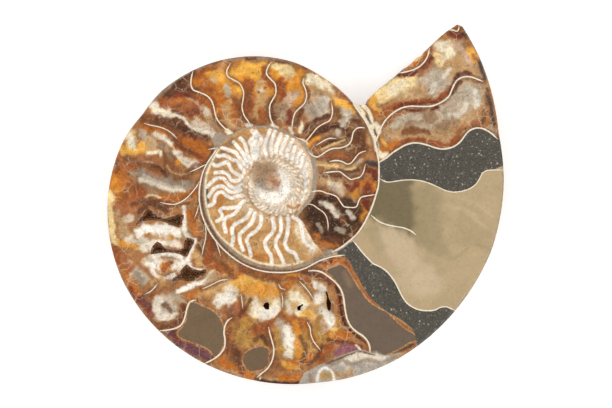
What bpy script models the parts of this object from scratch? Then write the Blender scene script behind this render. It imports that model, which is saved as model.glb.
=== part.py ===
"""A fossil ammonite, sawn in half through its coil and polished, lying on its back.

The cut face is flat and looks up. The back keeps the rounded flank of the shell, with its
umbilicus, low ribs, and the ledge where the last whorl is broken off. Sizes are millimetres
and degrees about the centre of the coil, and become metres as each mesh is made.
"""

import math
import random

import bmesh
import bpy
import numpy as np
from mathutils import Vector
from mathutils.geometry import delaunay_2d_cdt

MM = 0.001
GAP = 0.3  # clearance between the stone and the crystals that line its hollows
JOIN = 1e-5  # points nearer than this count as one

# The coil: the venter, the shell's outer edge, is a logarithmic spiral that starts where the
# last whorl is broken off and runs one turn.
START_ANGLE = 46.4
START_RADIUS = 37.2
TURN_GROWTH = 2.09
# Wear moves the venter in (-) or out (+) from the spiral by these amounts at these angles.
WEAR_ANGLES = (46, 65, 78, 138, 149, 160, 210, 230, 262, 284, 292, 308, 345, 362, 374, 392, 402)
WEAR = (-0.35, -0.5, 0, -0.1, -0.85, -0.1, 0.15, -0.1, -0.4, -0.4, 0.1, 0.85, 1.3, 0.3, -0.95, 0.1, 0.3)
# The broken edge of the last whorl, from its tip in to the whorl before it.
BROKEN_EDGE = (
    (57.0, 50.6), (55.5, 49.5), (54.0, 48.6), (51.8, 46.8), (49.4, 44.5), (47.0, 42.2),
    (46.1, 41.0), (44.8, 40.5), (43.6, 39.2), (42.1, 37.9), (40.6, 37.0), (38.2, 34.9),
    (36.0, 33.1), (33.6, 31.3), (31.8, 29.7), (29.8, 27.6), (29.6, 26.4), (27.5, 26.0),
)
TIP_ANGLE = 401.6
VENTER_STEP = 2.0

# The back: half of a compressed whorl, thickest at its umbilical shoulder.
THICKNESS = 13.0  # from the polished face to the worn flat that the fossil rests on
FULL_DEPTH = 14.3  # half the width that the whorls grow towards
GROWTH_RADIUS = 22.0  # the radius over which they gain most of it
RIM = 0.9  # upright edge left round the polished face
SHOULDER = 0.30  # the shoulder, as a share of the whorl's radius
SEAM = 0.19  # where the umbilical wall meets the whorl inside it
SEAM_DEPTH = 0.4  # the wall's depth there, as a share of the shoulder's
FLANK_POWER = 0.7  # 1 would make the venter sharp, 0.5 blunt
SMALLEST_WHORL = 2.0
FIRST_CHAMBER_RADIUS = 3.5
FIRST_CHAMBER_DEPTH = 3.5  # stone left at the middle of the coil

# Low sickle-shaped ribs on the outer half of the flank.
RIBS = 30
RIB_HEIGHT = 0.35
RIB_SWEEP = 11.0
RIB_MIDDLE = 0.79
RIB_REACH = 0.19

# Rows of points over the back: shares of the whorl's radius, and degrees between points.
BACK_ROWS = (
    ((0.985, 0.955, 0.91, 0.85, 0.78, 0.70, 0.62), 2.0),
    ((0.54, 0.46, 0.39, 0.33, 0.29, 0.255, 0.225, 0.195, 0.165), 4.0),
    ((0.14, 0.12, 0.10, 0.08, 0.06, 0.035), 9.0),
)
FACE_ROWS = (((0.93, 0.8), 6.0), ((0.6, 0.4), 12.0), ((0.2,), 30.0))
MARGIN = 0.45  # no point of a row comes nearer to an outline or a ledge than this
LEDGE_RUN = 0.5  # the broken ledge on the back falls steeply, over this width
LEDGE_STEPS = 8
LEDGE_END = 0.26  # the ledge ends in the umbilicus, at this share of the last whorl's radius

# Crystal-lined hollows that the cut opened, as outlines on the polished face.
HOLLOWS = {
    "upper_hollow_crystals": (
        (-37.1, -5.4), (-35.7, -6.1), (-34.5, -7.2), (-33.0, -8.0), (-31.5, -8.4), (-29.6, -7.8),
        (-27.8, -7.2), (-26.6, -6.9), (-26.0, -7.4), (-26.1, -8.4), (-26.6, -9.2), (-26.6, -10.3),
        (-27.2, -11.2), (-28.3, -11.0), (-29.3, -10.5), (-30.6, -10.4), (-31.3, -9.7),
        (-33.0, -9.2), (-34.8, -9.0), (-36.4, -9.0), (-37.9, -9.2), (-39.2, -9.7),
        (-40.1, -10.6), (-40.8, -10.4), (-40.3, -9.3), (-39.1, -8.0), (-38.2, -6.7),
    ),
    "middle_hollow_crystals": (
        (-36.2, -19.4), (-36.0, -18.0), (-35.6, -16.8), (-34.2, -15.4), (-33.1, -15.9),
        (-32.1, -17.1), (-30.3, -17.8), (-28.4, -18.0), (-26.9, -17.8), (-26.0, -16.8),
        (-25.8, -15.0), (-25.1, -14.2), (-23.9, -14.4), (-22.8, -14.8), (-23.0, -16.0),
        (-23.7, -17.4), (-24.3, -18.5), (-24.9, -20.0), (-26.0, -20.0), (-27.2, -19.3),
        (-28.7, -18.9), (-30.6, -18.7), (-32.7, -18.9), (-34.5, -19.1),
    ),
    "lower_hollow_crystals": (
        (-29.9, -27.4), (-29.2, -26.4), (-27.8, -25.6), (-27.1, -24.4), (-26.0, -23.0),
        (-25.1, -22.3), (-24.0, -23.2), (-22.6, -23.9), (-21.0, -24.2), (-19.2, -23.8),
        (-19.3, -25.0), (-20.2, -25.9), (-21.7, -26.5), (-22.8, -27.3), (-24.8, -27.6),
        (-27.2, -27.1), (-28.4, -27.4), (-29.2, -28.0),
    ),
}
HOLLOW_DEPTH = 5.0
# Small bare holes between the chambers.
PITS = (
    ((-2.0, -35.0), (-1.5, -34.2), (-0.6, -33.8), (-0.1, -34.4), (-0.1, -36.1), (-1.2, -36.1)),
    ((8.4, -35.2), (9.6, -34.7), (10.1, -34.3), (10.2, -34.9), (9.6, -35.3), (9.4, -36.4), (8.5, -36.4)),
    (
        (17.0, -30.5), (17.6, -30.9), (18.1, -32.9), (18.7, -34.1), (18.6, -36.1),
        (18.1, -36.7), (17.6, -35.9), (17.3, -34.1), (17.5, -32.3),
    ),
)
PIT_DEPTH = 3.0
CUTTER_RISE = 1.0

# The crystals: their spacing, how deep the crust dips in the middle, and their points.
CRYSTAL_SPACING = 0.75
CRYSTAL_JITTER = 0.2
CRUST_RIM = 0.15
CRUST_DIP = 3.2
CRUST_SLOPE = 1.3
CRYSTAL_POINTS = (0.2, 0.6)
CRYSTAL_ROOM = 0.7  # a point takes no more than this share of the room below the polished face


def wear_at(angle):
    return float(np.interp(angle, WEAR_ANGLES, WEAR))


def venter_radius(angle):
    """The outer edge of the last whorl, at an angle from START_ANGLE to a turn later."""
    turns = (angle - START_ANGLE) / 360
    return START_RADIUS * TURN_GROWTH**turns + wear_at(angle)


def place(radius, angle, height=0.0):
    turn = math.radians(angle)
    return Vector((radius * math.cos(turn), radius * math.sin(turn), height))


def flank(share):
    """Depth of a whorl at a share of its radius, as a share of its depth at the shoulder."""
    if share >= SHOULDER:
        rise = (1 - share) / (1 - SHOULDER)
        return math.sin(math.pi / 2 * max(rise, 0)) ** FLANK_POWER
    fall = (SHOULDER - share) / (SHOULDER - SEAM)
    return 1 - (1 - SEAM_DEPTH) * fall**2


def rib(share, angle):
    """Height of the ribs on the last whorl's flank."""
    offset = (share - RIB_MIDDLE) / RIB_REACH
    if abs(offset) >= 1:
        return 0.0
    swept = angle + RIB_SWEEP * offset**2
    return RIB_HEIGHT * (1 - offset**2) ** 2 * math.cos(math.radians(RIBS * swept))


def back_height(radius, angle):
    """Height of the back: the stone reaches down as far as the deepest whorl at this place."""
    reach = venter_radius(angle)
    relief = rib(radius / reach, angle)
    depth = FIRST_CHAMBER_DEPTH if radius < FIRST_CHAMBER_RADIUS else RIM
    while reach > max(radius, SMALLEST_WHORL):
        whole = FULL_DEPTH * (1 - math.exp(-reach / GROWTH_RADIUS))
        depth = max(depth, whole * flank(radius / reach) + relief)
        reach /= TURN_GROWTH
        relief = 0.0
    return THICKNESS - min(depth, THICKNESS)


def outline():
    """The back's border, counter-clockwise from the notch: the venter, then the broken edge."""
    corners = []
    for angle in np.arange(START_ANGLE, TIP_ANGLE, VENTER_STEP):
        corners.append(place(venter_radius(angle), angle, THICKNESS - RIM))
    for x, y in BROKEN_EDGE:
        angle = math.degrees(math.atan2(y, x)) + 360
        corners.append(Vector((x, y, back_height(math.hypot(x, y), angle))))
    return corners


def ledge(whorl_angle, run):
    """One line of the broken ledge, from beside the notch inwards, on the whorl at that angle."""
    points = []
    outer = venter_radius(START_ANGLE)
    inner = LEDGE_END * venter_radius(TIP_ANGLE)
    for step in range(1, LEDGE_STEPS + 1):
        radius = outer + (inner - outer) * step / LEDGE_STEPS
        turn = START_ANGLE + math.degrees(run / radius)
        points.append(place(radius, turn, back_height(radius, whorl_angle)))
    return points


def distance_to_line(point, start, end):
    along = end - start
    share = max(0.0, min(1.0, (point - start).dot(along) / along.length_squared))
    return (point - start - share * along).length


def inside(point, corners):
    """Whether a point is inside a closed outline, by counting the edges to its right."""
    crossings = 0
    for start, end in zip(corners, corners[1:] + corners[:1]):
        if (start.y > point.y) != (end.y > point.y):
            x = start.x + (point.y - start.y) * (end.x - start.x) / (end.y - start.y)
            crossings += x > point.x
    return crossings % 2 == 1


def clear_of(point, lines, margin):
    return all(distance_to_line(point, start, end) > margin for start, end in lines)


def rows_of_points(rows, corners, lines, height_of):
    """Points on rows that follow the coil, left out where they crowd an outline or a ledge."""
    points = [Vector((0, 0, height_of(0, START_ANGLE)))]
    for shares, step in rows:
        for row, share in enumerate(shares):
            for angle in np.arange(START_ANGLE + step * (row % 2) / 2, START_ANGLE + 360, step):
                point = place(share * venter_radius(angle), angle)
                if inside(point, corners) and clear_of(point, lines, MARGIN):
                    point.z = height_of(point.length, angle)
                    points.append(point)
    return points


def flattened(points, height=0.0):
    return [Vector((point.x, point.y, height)) for point in points]


def closed_lines(points):
    flat = flattened(points)
    return list(zip(flat, flat[1:] + flat[:1]))


def open_lines(points):
    flat = flattened(points)
    return list(zip(flat, flat[1:]))


def add_sheet(mesh, points, border_size, creases=()):
    """Joins points into triangles inside a border, its first points, and returns their vertices."""
    flat = [point.to_2d() for point in points]
    border = [list(range(border_size))]
    _, _, faces, sources, _, _ = delaunay_2d_cdt(flat, list(creases), border, 1, JOIN)
    vertices = {source[0]: mesh.verts.new(points[source[0]] * MM) for source in sources}
    names = [source[0] for source in sources]
    for face in faces:
        mesh.faces.new([vertices[names[corner]] for corner in face])
    return [vertices[index] for index in range(border_size)]


def add_wall(mesh, upper, lower):
    for index, corner in enumerate(upper):
        following = (index + 1) % len(upper)
        mesh.faces.new((corner, lower[index], lower[following], upper[following]))


def stone(name, color, roughness):
    material = bpy.data.materials.new(name)
    material.use_nodes = True
    shader = material.node_tree.nodes["Principled BSDF"]
    shader.inputs["Base Color"].default_value = (*color, 1)
    shader.inputs["Roughness"].default_value = roughness
    shader.inputs["Metallic"].default_value = 0.0
    return material


def add_object(name, mesh, material, origin):
    """A finished object from a closed bmesh, moved so that its box stands on the scene's origin."""
    bmesh.ops.recalc_face_normals(mesh, faces=mesh.faces[:])
    data = bpy.data.meshes.new(name)
    mesh.to_mesh(data)
    mesh.free()
    data.materials.append(material)
    piece = bpy.data.objects.new(name, data)
    piece.location = -origin * MM
    bpy.context.scene.collection.objects.link(piece)
    return piece


def ammonite(corners, origin, material):
    """The whole fossil before its hollows are cut: flat face, rounded back, and the rim between."""
    mesh = bmesh.new()
    border = closed_lines(corners)
    face = flattened(corners, THICKNESS)
    face += rows_of_points(FACE_ROWS, corners, border, lambda *_: THICKNESS)
    upper = add_sheet(mesh, face, len(corners))
    lines = border
    back = list(corners)
    creases = []
    for side in (ledge(START_ANGLE + 360, 0), ledge(START_ANGLE, LEDGE_RUN)):
        creases += [(len(back) + step, len(back) + step + 1) for step in range(len(side) - 1)]
        back += side
        lines = lines + open_lines(side)
    back += rows_of_points(BACK_ROWS, corners, lines, back_height)
    lower = add_sheet(mesh, back, len(corners), creases)
    add_wall(mesh, upper, lower)
    return add_object("ammonite", mesh, material, origin)


def cutter(outlines, origin, material):
    """Upright plugs, one for each outline and its depth, that cut the hollows into the stone."""
    mesh = bmesh.new()
    for points, depth in outlines:
        rings = []
        for height in (THICKNESS + CUTTER_RISE, THICKNESS - depth):
            rings.append([mesh.verts.new(Vector((x, y, height)) * MM) for x, y in points])
            mesh.faces.new(rings[-1])
        add_wall(mesh, *rings)
    tool = add_object("hollow_cutter", mesh, material, origin)
    tool.hide_render = True
    tool.display_type = "WIRE"
    return tool


def cut(piece, tool):
    boolean = piece.modifiers.new("hollows", "BOOLEAN")
    boolean.operation = "DIFFERENCE"
    boolean.solver = "EXACT"
    boolean.object = tool


def inset(points, distance):
    """The outline drawn in by a distance, with even margins, by insetting it as one face."""
    mesh = bmesh.new()
    face = mesh.faces.new([mesh.verts.new((x, y, 0)) for x, y in points])
    bmesh.ops.inset_individual(mesh, faces=[face], thickness=distance, use_even_offset=True)
    corners = [vertex.co.copy() for vertex in face.verts]
    mesh.free()
    return corners


def crust_height(point, lines):
    """The crust's surface: near the polished face at its edge, deep in the middle."""
    edge = min(distance_to_line(point, start, end) for start, end in lines)
    return THICKNESS - CRUST_RIM - CRUST_DIP * min(1, edge / CRUST_SLOPE)


def crystal_seats(border, chance):
    """Places for crystals on a loose grid inside the border."""
    lines = closed_lines(border)
    xs = [corner.x for corner in border]
    ys = [corner.y for corner in border]
    seats = []
    for x in np.arange(min(xs), max(xs), CRYSTAL_SPACING):
        for y in np.arange(min(ys), max(ys), CRYSTAL_SPACING):
            shift = [chance.uniform(-CRYSTAL_JITTER, CRYSTAL_JITTER) for _ in range(2)]
            seat = Vector((x + shift[0], y + shift[1], 0))
            if inside(seat, border) and clear_of(seat, lines, CRYSTAL_SPACING / 2):
                seat.z = crust_height(seat, lines)
                seats.append(seat)
    return seats


def crust(name, points, origin, material, chance):
    """One hollow's crystals: a lining of flat-faced points on a solid bed that fills its floor."""
    border = flattened(inset(points, GAP), THICKNESS - CRUST_RIM)
    mesh = bmesh.new()
    upper = add_sheet(mesh, border + crystal_seats(border, chance), len(border))
    for face in mesh.faces[:]:
        room = THICKNESS * MM - face.calc_center_median().z
        point = min(chance.uniform(*CRYSTAL_POINTS) * MM, room * CRYSTAL_ROOM)
        bmesh.ops.poke(mesh, faces=[face], offset=point)
    floor = flattened(border, THICKNESS - HOLLOW_DEPTH + GAP)
    lower = [mesh.verts.new(corner * MM) for corner in floor]
    mesh.faces.new(lower)
    add_wall(mesh, upper, lower)
    return add_object(name, mesh, material, origin)


def main():
    for item in list(bpy.data.objects):
        bpy.data.objects.remove(item, do_unlink=True)
    corners = outline()
    xs = [corner.x for corner in corners]
    ys = [corner.y for corner in corners]
    origin = Vector(((min(xs) + max(xs)) / 2, (min(ys) + max(ys)) / 2, 0))
    limestone = stone("polished_fossil_stone", (0.42, 0.25, 0.13), 0.22)
    calcite = stone("crystal_calcite", (0.78, 0.72, 0.62), 0.35)
    fossil = ammonite(corners, origin, limestone)
    holes = [(points, HOLLOW_DEPTH) for points in HOLLOWS.values()]
    holes += [(points, PIT_DEPTH) for points in PITS]
    cut(fossil, cutter(holes, origin, limestone))
    fossil.data.shade_smooth()
    fossil.data.set_sharp_from_angle(angle=math.radians(30))
    chance = random.Random(7)
    for name, points in HOLLOWS.items():
        crust(name, points, origin, calcite, chance)


main()
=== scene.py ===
# %% [markdown]
# # A fossil ammonite, sawn and polished
# The shell of this ammonite coiled round itself, and cross-walls, the septa, shut off one chamber after
# another. In the rock its chambers filled with calcite and mud. The stone was sawn in half through the coil
# and the cut was polished. It lies on its back here, with the polished face up.
#
# The solid of the part is loaded first. It is the frame that everything else is fitted to, so the box is
# measured at once.

# %% Load the solid and measure its box
import math
import random

import bmesh
import bpy
import numpy as np
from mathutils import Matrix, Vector, noise
from mathutils.geometry import delaunay_2d_cdt


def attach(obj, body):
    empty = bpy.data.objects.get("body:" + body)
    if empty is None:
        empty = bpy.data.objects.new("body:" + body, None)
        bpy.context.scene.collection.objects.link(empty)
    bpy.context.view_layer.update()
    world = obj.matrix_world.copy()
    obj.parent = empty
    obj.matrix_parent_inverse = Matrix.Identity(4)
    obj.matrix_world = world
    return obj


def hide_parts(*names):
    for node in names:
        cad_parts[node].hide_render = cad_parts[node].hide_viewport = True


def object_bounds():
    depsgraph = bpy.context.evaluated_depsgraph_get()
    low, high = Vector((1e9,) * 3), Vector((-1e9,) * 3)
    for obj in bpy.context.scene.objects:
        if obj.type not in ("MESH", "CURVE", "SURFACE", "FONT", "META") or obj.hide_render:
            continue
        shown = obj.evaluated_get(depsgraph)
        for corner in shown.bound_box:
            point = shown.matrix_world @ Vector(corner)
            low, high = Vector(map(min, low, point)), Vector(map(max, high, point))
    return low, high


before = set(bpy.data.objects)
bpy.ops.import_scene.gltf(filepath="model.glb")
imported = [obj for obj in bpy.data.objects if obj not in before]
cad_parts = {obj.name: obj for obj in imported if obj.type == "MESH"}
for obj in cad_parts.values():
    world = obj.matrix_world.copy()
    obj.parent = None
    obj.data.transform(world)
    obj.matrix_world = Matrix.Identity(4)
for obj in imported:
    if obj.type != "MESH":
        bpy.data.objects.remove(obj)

solid_low, solid_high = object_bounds()
FACE_HEIGHT = solid_high.z
print("solid", [round(1000 * (high - low), 1) for low, high in zip(solid_low, solid_high)], "mm")

# %% [markdown]
# ## From the photograph to the stone
# The photograph looks straight down on the polished face, so one scale and one middle point carry any
# pixel of it onto the stone. The marks below were chosen on the photograph, and they are kept in its
# pixels, x to the right and y down. Everything that is built from them is converted once, here.

# %% One scale for the whole face
MM = 0.001
MM_PER_PIXEL = 0.304
MIDDLE_PIXEL = np.array((305.64, 204.3))
PIXEL = MM_PER_PIXEL * MM
Y_UP = np.array((1, -1))


def to_pixels(points):
    """Metres on the stone, as rows of x and y, to pixels of the photograph."""
    return MIDDLE_PIXEL + np.asarray(points, float)[:, :2] / PIXEL * Y_UP


def to_metres(pixels):
    """Pixels of the photograph to metres on the stone."""
    return (np.asarray(pixels, float) - MIDDLE_PIXEL) * (PIXEL, -PIXEL)


print("the solid covers pixels", to_pixels([solid_low, solid_high]).round(1).tolist())

# %% [markdown]
# ## Curves through a few marks
# A septum or a shell wall is a smooth curve, so a handful of marks is enough. The curve below passes through
# every mark, unlike one with free handles, and needs nothing but the marks themselves. Marks are written as x
# and y in turn, which keeps the long lists of them readable.

# %% A smooth curve
def rows(marks):
    """Marks written as x and y in turn, as rows of x and y."""
    return np.reshape(np.asarray(marks, float), (-1, 2))


def smooth(marks, step):
    """Points about a step apart on the smooth curve through the marks."""
    marks = rows(marks)
    if len(marks) < 3:
        return marks
    padded = np.vstack((2 * marks[0] - marks[1], marks, 2 * marks[-1] - marks[-2]))
    points = []
    for before, start, end, after in zip(padded, padded[1:], padded[2:], padded[3:]):
        count = max(1, math.ceil(np.linalg.norm(end - start) / step))
        for part in np.arange(count) / count:
            pull = (end - before) * part + (2 * before - 5 * start + 4 * end - after) * part**2
            pull += (3 * start - before - 3 * end + after) * part**3
            points.append(start + pull / 2)
    points.append(marks[-1])
    return np.array(points)


print("three marks give a curve of", len(smooth((0,0, 10,0, 10,10), 1.0)), "points")

# %% [markdown]
# Two questions are asked of many thousands of points: how far is each from a line, and is it inside an
# outline? Arrays answer them for all the points at once, which is far quicker than one point after another.

# %% Distance to a line, and the inside of an outline
ALMOST_NOTHING = 1e-9


def distance_to(path, points):
    """Distance of each point to a path of straight pieces."""
    if len(path) == 1:
        return np.linalg.norm(points - path[0], axis=1)
    best = np.full(len(points), np.inf)
    for start, end in zip(path, path[1:]):
        piece = end - start
        length = max(float(piece @ piece), ALMOST_NOTHING)
        share = np.clip((points - start) @ piece / length, 0, 1)
        gap = np.linalg.norm(points - start - share[:, None] * piece, axis=1)
        best = np.minimum(best, gap)
    return best


def closed(outline):
    """The outline with its first point again at the end."""
    return np.vstack((outline, outline[:1]))


def inside(outline, points):
    """Which points are inside a closed outline, counting the edges that lie to their right."""
    x, y = points[:, 0], points[:, 1]
    found = np.zeros(len(points), bool)
    for start, end in zip(outline, np.roll(outline, -1, axis=0)):
        rises = (start[1] > y) != (end[1] > y)
        slope = (end[0] - start[0]) / (end[1] - start[1] or ALMOST_NOTHING)
        found ^= rises & (x < start[0] + (y - start[1]) * slope)
    return found


square = rows((0,0, 2,0, 2,2, 0,2))
print("one of two points is inside a square:", inside(square, rows((1,1, 3,1))).tolist())

# %% [markdown]
# ## The shell walls and the septa
# On the cut face the old shell shows as thin white lines. Each is a width and its marks, because the walls
# are a little thicker than the septa. They become narrow strips of the face itself, not raised lines: the
# whole face was ground flat.

# %% Shell walls and septa as lines on the face
SEPTA = {
    "coil_wall": (2.1, (
        353,103, 357,109, 362,116, 366,122, 370,130, 374,138, 376,147, 377.5,155, 378.8,162, 379,170,
        378.5,185, 376,195, 372,207, 367,218, 362,227, 356,235, 348,242, 340,248, 332,252,
    )),
    "coil_wall_layer": (1.4, (361,104, 366,106, 369.5,112, 371.5,119, 374,127)),
    "septum_1": (1.7, (
        193,71, 191.3,78, 191,85, 193.5,90, 200,92.5, 206.5,95.5, 211,100, 213.5,106, 215,113, 217,119,
        221.5,125, 227,130, 233,133,
    )),
    "septum_2": (1.5, (
        230.5,63.5, 227,70, 227.5,76, 233,79.5, 240,84, 243.5,92, 243,100, 242,107, 244,115, 248,121,
        250.5,125,
    )),
    "septum_3": (1.7, (
        271.5,62, 268.5,66, 266.5,71, 267,75, 271,79.5, 275,84, 276,90, 275.3,95, 273,99, 270,105,
        269.5,111, 270.5,118, 272.5,123, 274.5,127.5,
    )),
    "septum_4": (1.5, (
        304,78, 303,83, 305,88, 306.7,95, 305.5,101, 303,105, 298,109.5, 294.5,114, 292.7,121, 291.7,129,
    )),
    "septum_5": (1.5, (
        331.5,103, 332.5,111, 331.5,117, 329,121, 323,124, 317,128, 312,134, 308,139, 305.5,141, 302,139.5,
        296,137.5,
    )),
    "septum_6": (1.4, (336,138.5, 330,138.3, 325,140, 320,143, 316,145.5)),
    "septum_7": (1.6, (
        365,128, 360,127.5, 356,129, 353,133, 352,138, 350,143, 346,146, 340,148, 333,148.5, 327,151,
        322,154.5, 317,157, 312,155, 308,151,
    )),
    "septum_8": (1.6, (
        366,151, 362,152, 358,154.5, 354.5,159, 351,163, 347,164, 342,161.5, 336,160.5, 329.5,161.5,
    )),
    "septum_9": (1.5, (
        323,173, 330,172, 336,171.5, 340,171.8, 343,174, 347,177, 351,179.5, 355,178.5, 360,177, 363,173,
        364.5,168, 365.5,164,
    )),
    "septum_10": (1.5, (
        311,192, 316,191, 321,191, 326,193, 332,194.5, 337,197, 340.5,202, 344,206.5, 349,207.3, 354,207.5,
        357,206, 358.5,201.5, 361,197.5, 366,196, 376,194.5,
    )),
    "septum_11": (1.3, (308,204, 313,205, 318,208.5, 323,212, 326.5,217, 328,224, 328,230)),
    "last_septum_1": (1.7, (399,73, 406,71.8, 413,69.8, 419.5,66.5, 425,61, 428,55, 429.5,48)),
    "last_septum_2": (1.9, (
        376,142, 378,136, 381,128, 385,121, 390,115.5, 396,111, 403,107.5, 411,106.2, 420,106.4, 430,106.3,
        437,104.3, 444,100.5, 449,96, 452,89.5, 455,83, 459,78.8, 465,76.7, 471,77, 477,79, 483,81.5,
    )),
    "last_septum_3": (1.9, (
        378.5,163, 382,160.5, 387,157.5, 393,152.5, 400,148, 406,144.8, 413,143, 420,143.3, 428,145.3,
        436,148, 443,149, 450,148, 456,145.3, 461,141, 465,135.5, 469,131, 475,128.3, 481,128.2, 487,130.5,
        493,134.7, 497.5,139,
    )),
    "tip_line": (1.5, (448,30, 453,30, 457,31.3, 459,28, 458.6,25.5)),
    "mud_edge_1": (1.3, (
        379,178, 385,181.5, 390,182, 397,181, 405,180, 415,180, 424,181.5, 431,184, 438,187, 445,190.3,
        451,191.8, 456,192, 463,191, 470,188.5, 476,184, 480,178, 482,174, 486,170.8, 492,170, 503.5,170,
    )),
    "mud_edge_2": (1.7, (371,215, 375,218.5, 380,222, 388,225, 397,226.7, 404,228, 411,231, 416,235)),
    "mud_edge_3": (1.7, (
        353,241, 357,245.5, 362,252, 368,258.5, 373,263.5, 379,266.3, 385,270, 390,275, 395,282, 399,290,
        402.5,297, 407,303, 413,307.3, 420,310, 428,310.7, 435,310, 440,307.5, 446,306.7, 451,308.7,
        456,311,
    )),
    "main_septum": (2.0, (
        308,271, 315,270.6, 322,272.3, 329,277, 335.5,282.5, 340.5,289, 343.3,297, 344.5,305, 345.7,313,
        347.5,320, 351.3,326.8, 357,332, 363,336, 367.5,341, 369.8,347, 370,352.5,
    )),
    "lower_septum_1": (1.9, (
        159.5,330.7, 168,330, 176,328, 181,325, 184,320, 185.7,314, 187,308, 189.3,303, 193,300.5,
        196.5,300,
    )),
    "lower_septum_2": (1.9, (
        232,317.5, 227.5,321, 224.7,327, 224,333.5, 225,340, 224.5,347, 221,353, 216,357.5, 210,361,
        204,363.7,
    )),
    "lower_septum_3": (1.7, (
        268.5,327, 270,334, 272,341, 273.8,348.5, 273.3,356, 271,363, 267,369, 262,373, 257,377.5,
    )),
    "lower_septum_4": (1.4, (307,322, 310,328, 311,335, 314,342, 318,347, 320.5,350.5)),
    "left_septum": (1.3, (144,123.3, 150,125, 155,126, 161,127.5, 167,130, 172,133.5, 177,138.5)),
    "ring_line_left": (1.7, (
        217.5,148, 212,156, 207,163.5, 203,172, 200.5,182, 199.3,192, 199.5,202, 201.3,212, 204,220.5,
        208.5,230, 214,238.5, 221,247, 229,254.5, 237,260.5, 247,266, 258,270, 272,272.3, 290,272,
        305,268.3, 318,261.5, 330,257.3, 337,256, 345,255,
    )),
    "spur_1": (1.2, (208,149.3, 213,148.7, 218,147.5)),
    "spur_2": (1.3, (206.5,164, 202,166.3, 196,169.3, 190,172)),
    "spur_3": (1.3, (199.5,181, 197.5,185, 194,190, 189,195.7, 184,200, 176,204, 168,204, 160,202.3)),
    "spur_4": (1.1, (198.5,205, 197,212, 194.5,218)),
    "spur_5": (1.1, (204.8,224, 206,232, 205.2,240, 203.3,248, 202,255)),
    "spur_6": (1.1, (215.5,241, 218.5,248.5, 220.5,256)),
    "milk_thread_1": (1.2, (145,294.3, 151,291, 155,287, 157.5,283.5)),
    "milk_thread_2": (1.2, (202,289, 208,286.5, 214,283.5, 221,280.3, 228,279.5)),
    "thread_1": (1.0, (241,294, 242,301, 243,309)),
    "thread_2": (1.0, (281.5,293, 282.8,300, 282.3,307.5)),
    "thread_3": (1.2, (278.5,284, 281,288.3, 285.5,289.3)),
    "thread_4": (1.1, (299,281, 304,286, 309,292, 313,298.5)),
}
print(len(SEPTA), "walls and septa")

# %% [markdown]
# ## The patches of mud
# Where the shell was open or broken, mud got in and set hard before the calcite could grow. Each patch is the
# kind of stone in it and its outline. The plain mud and the speckled bands on both sides of it take the marks
# of the walls between them, so no gap can open there. Where a patch reaches the edge of the fossil, its
# outline simply runs past it, and the edge trims it.

# %% Outlines of the mud and the seam
def backwards(marks):
    """The same marks from the last to the first."""
    return tuple(rows(marks)[::-1].ravel())


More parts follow.
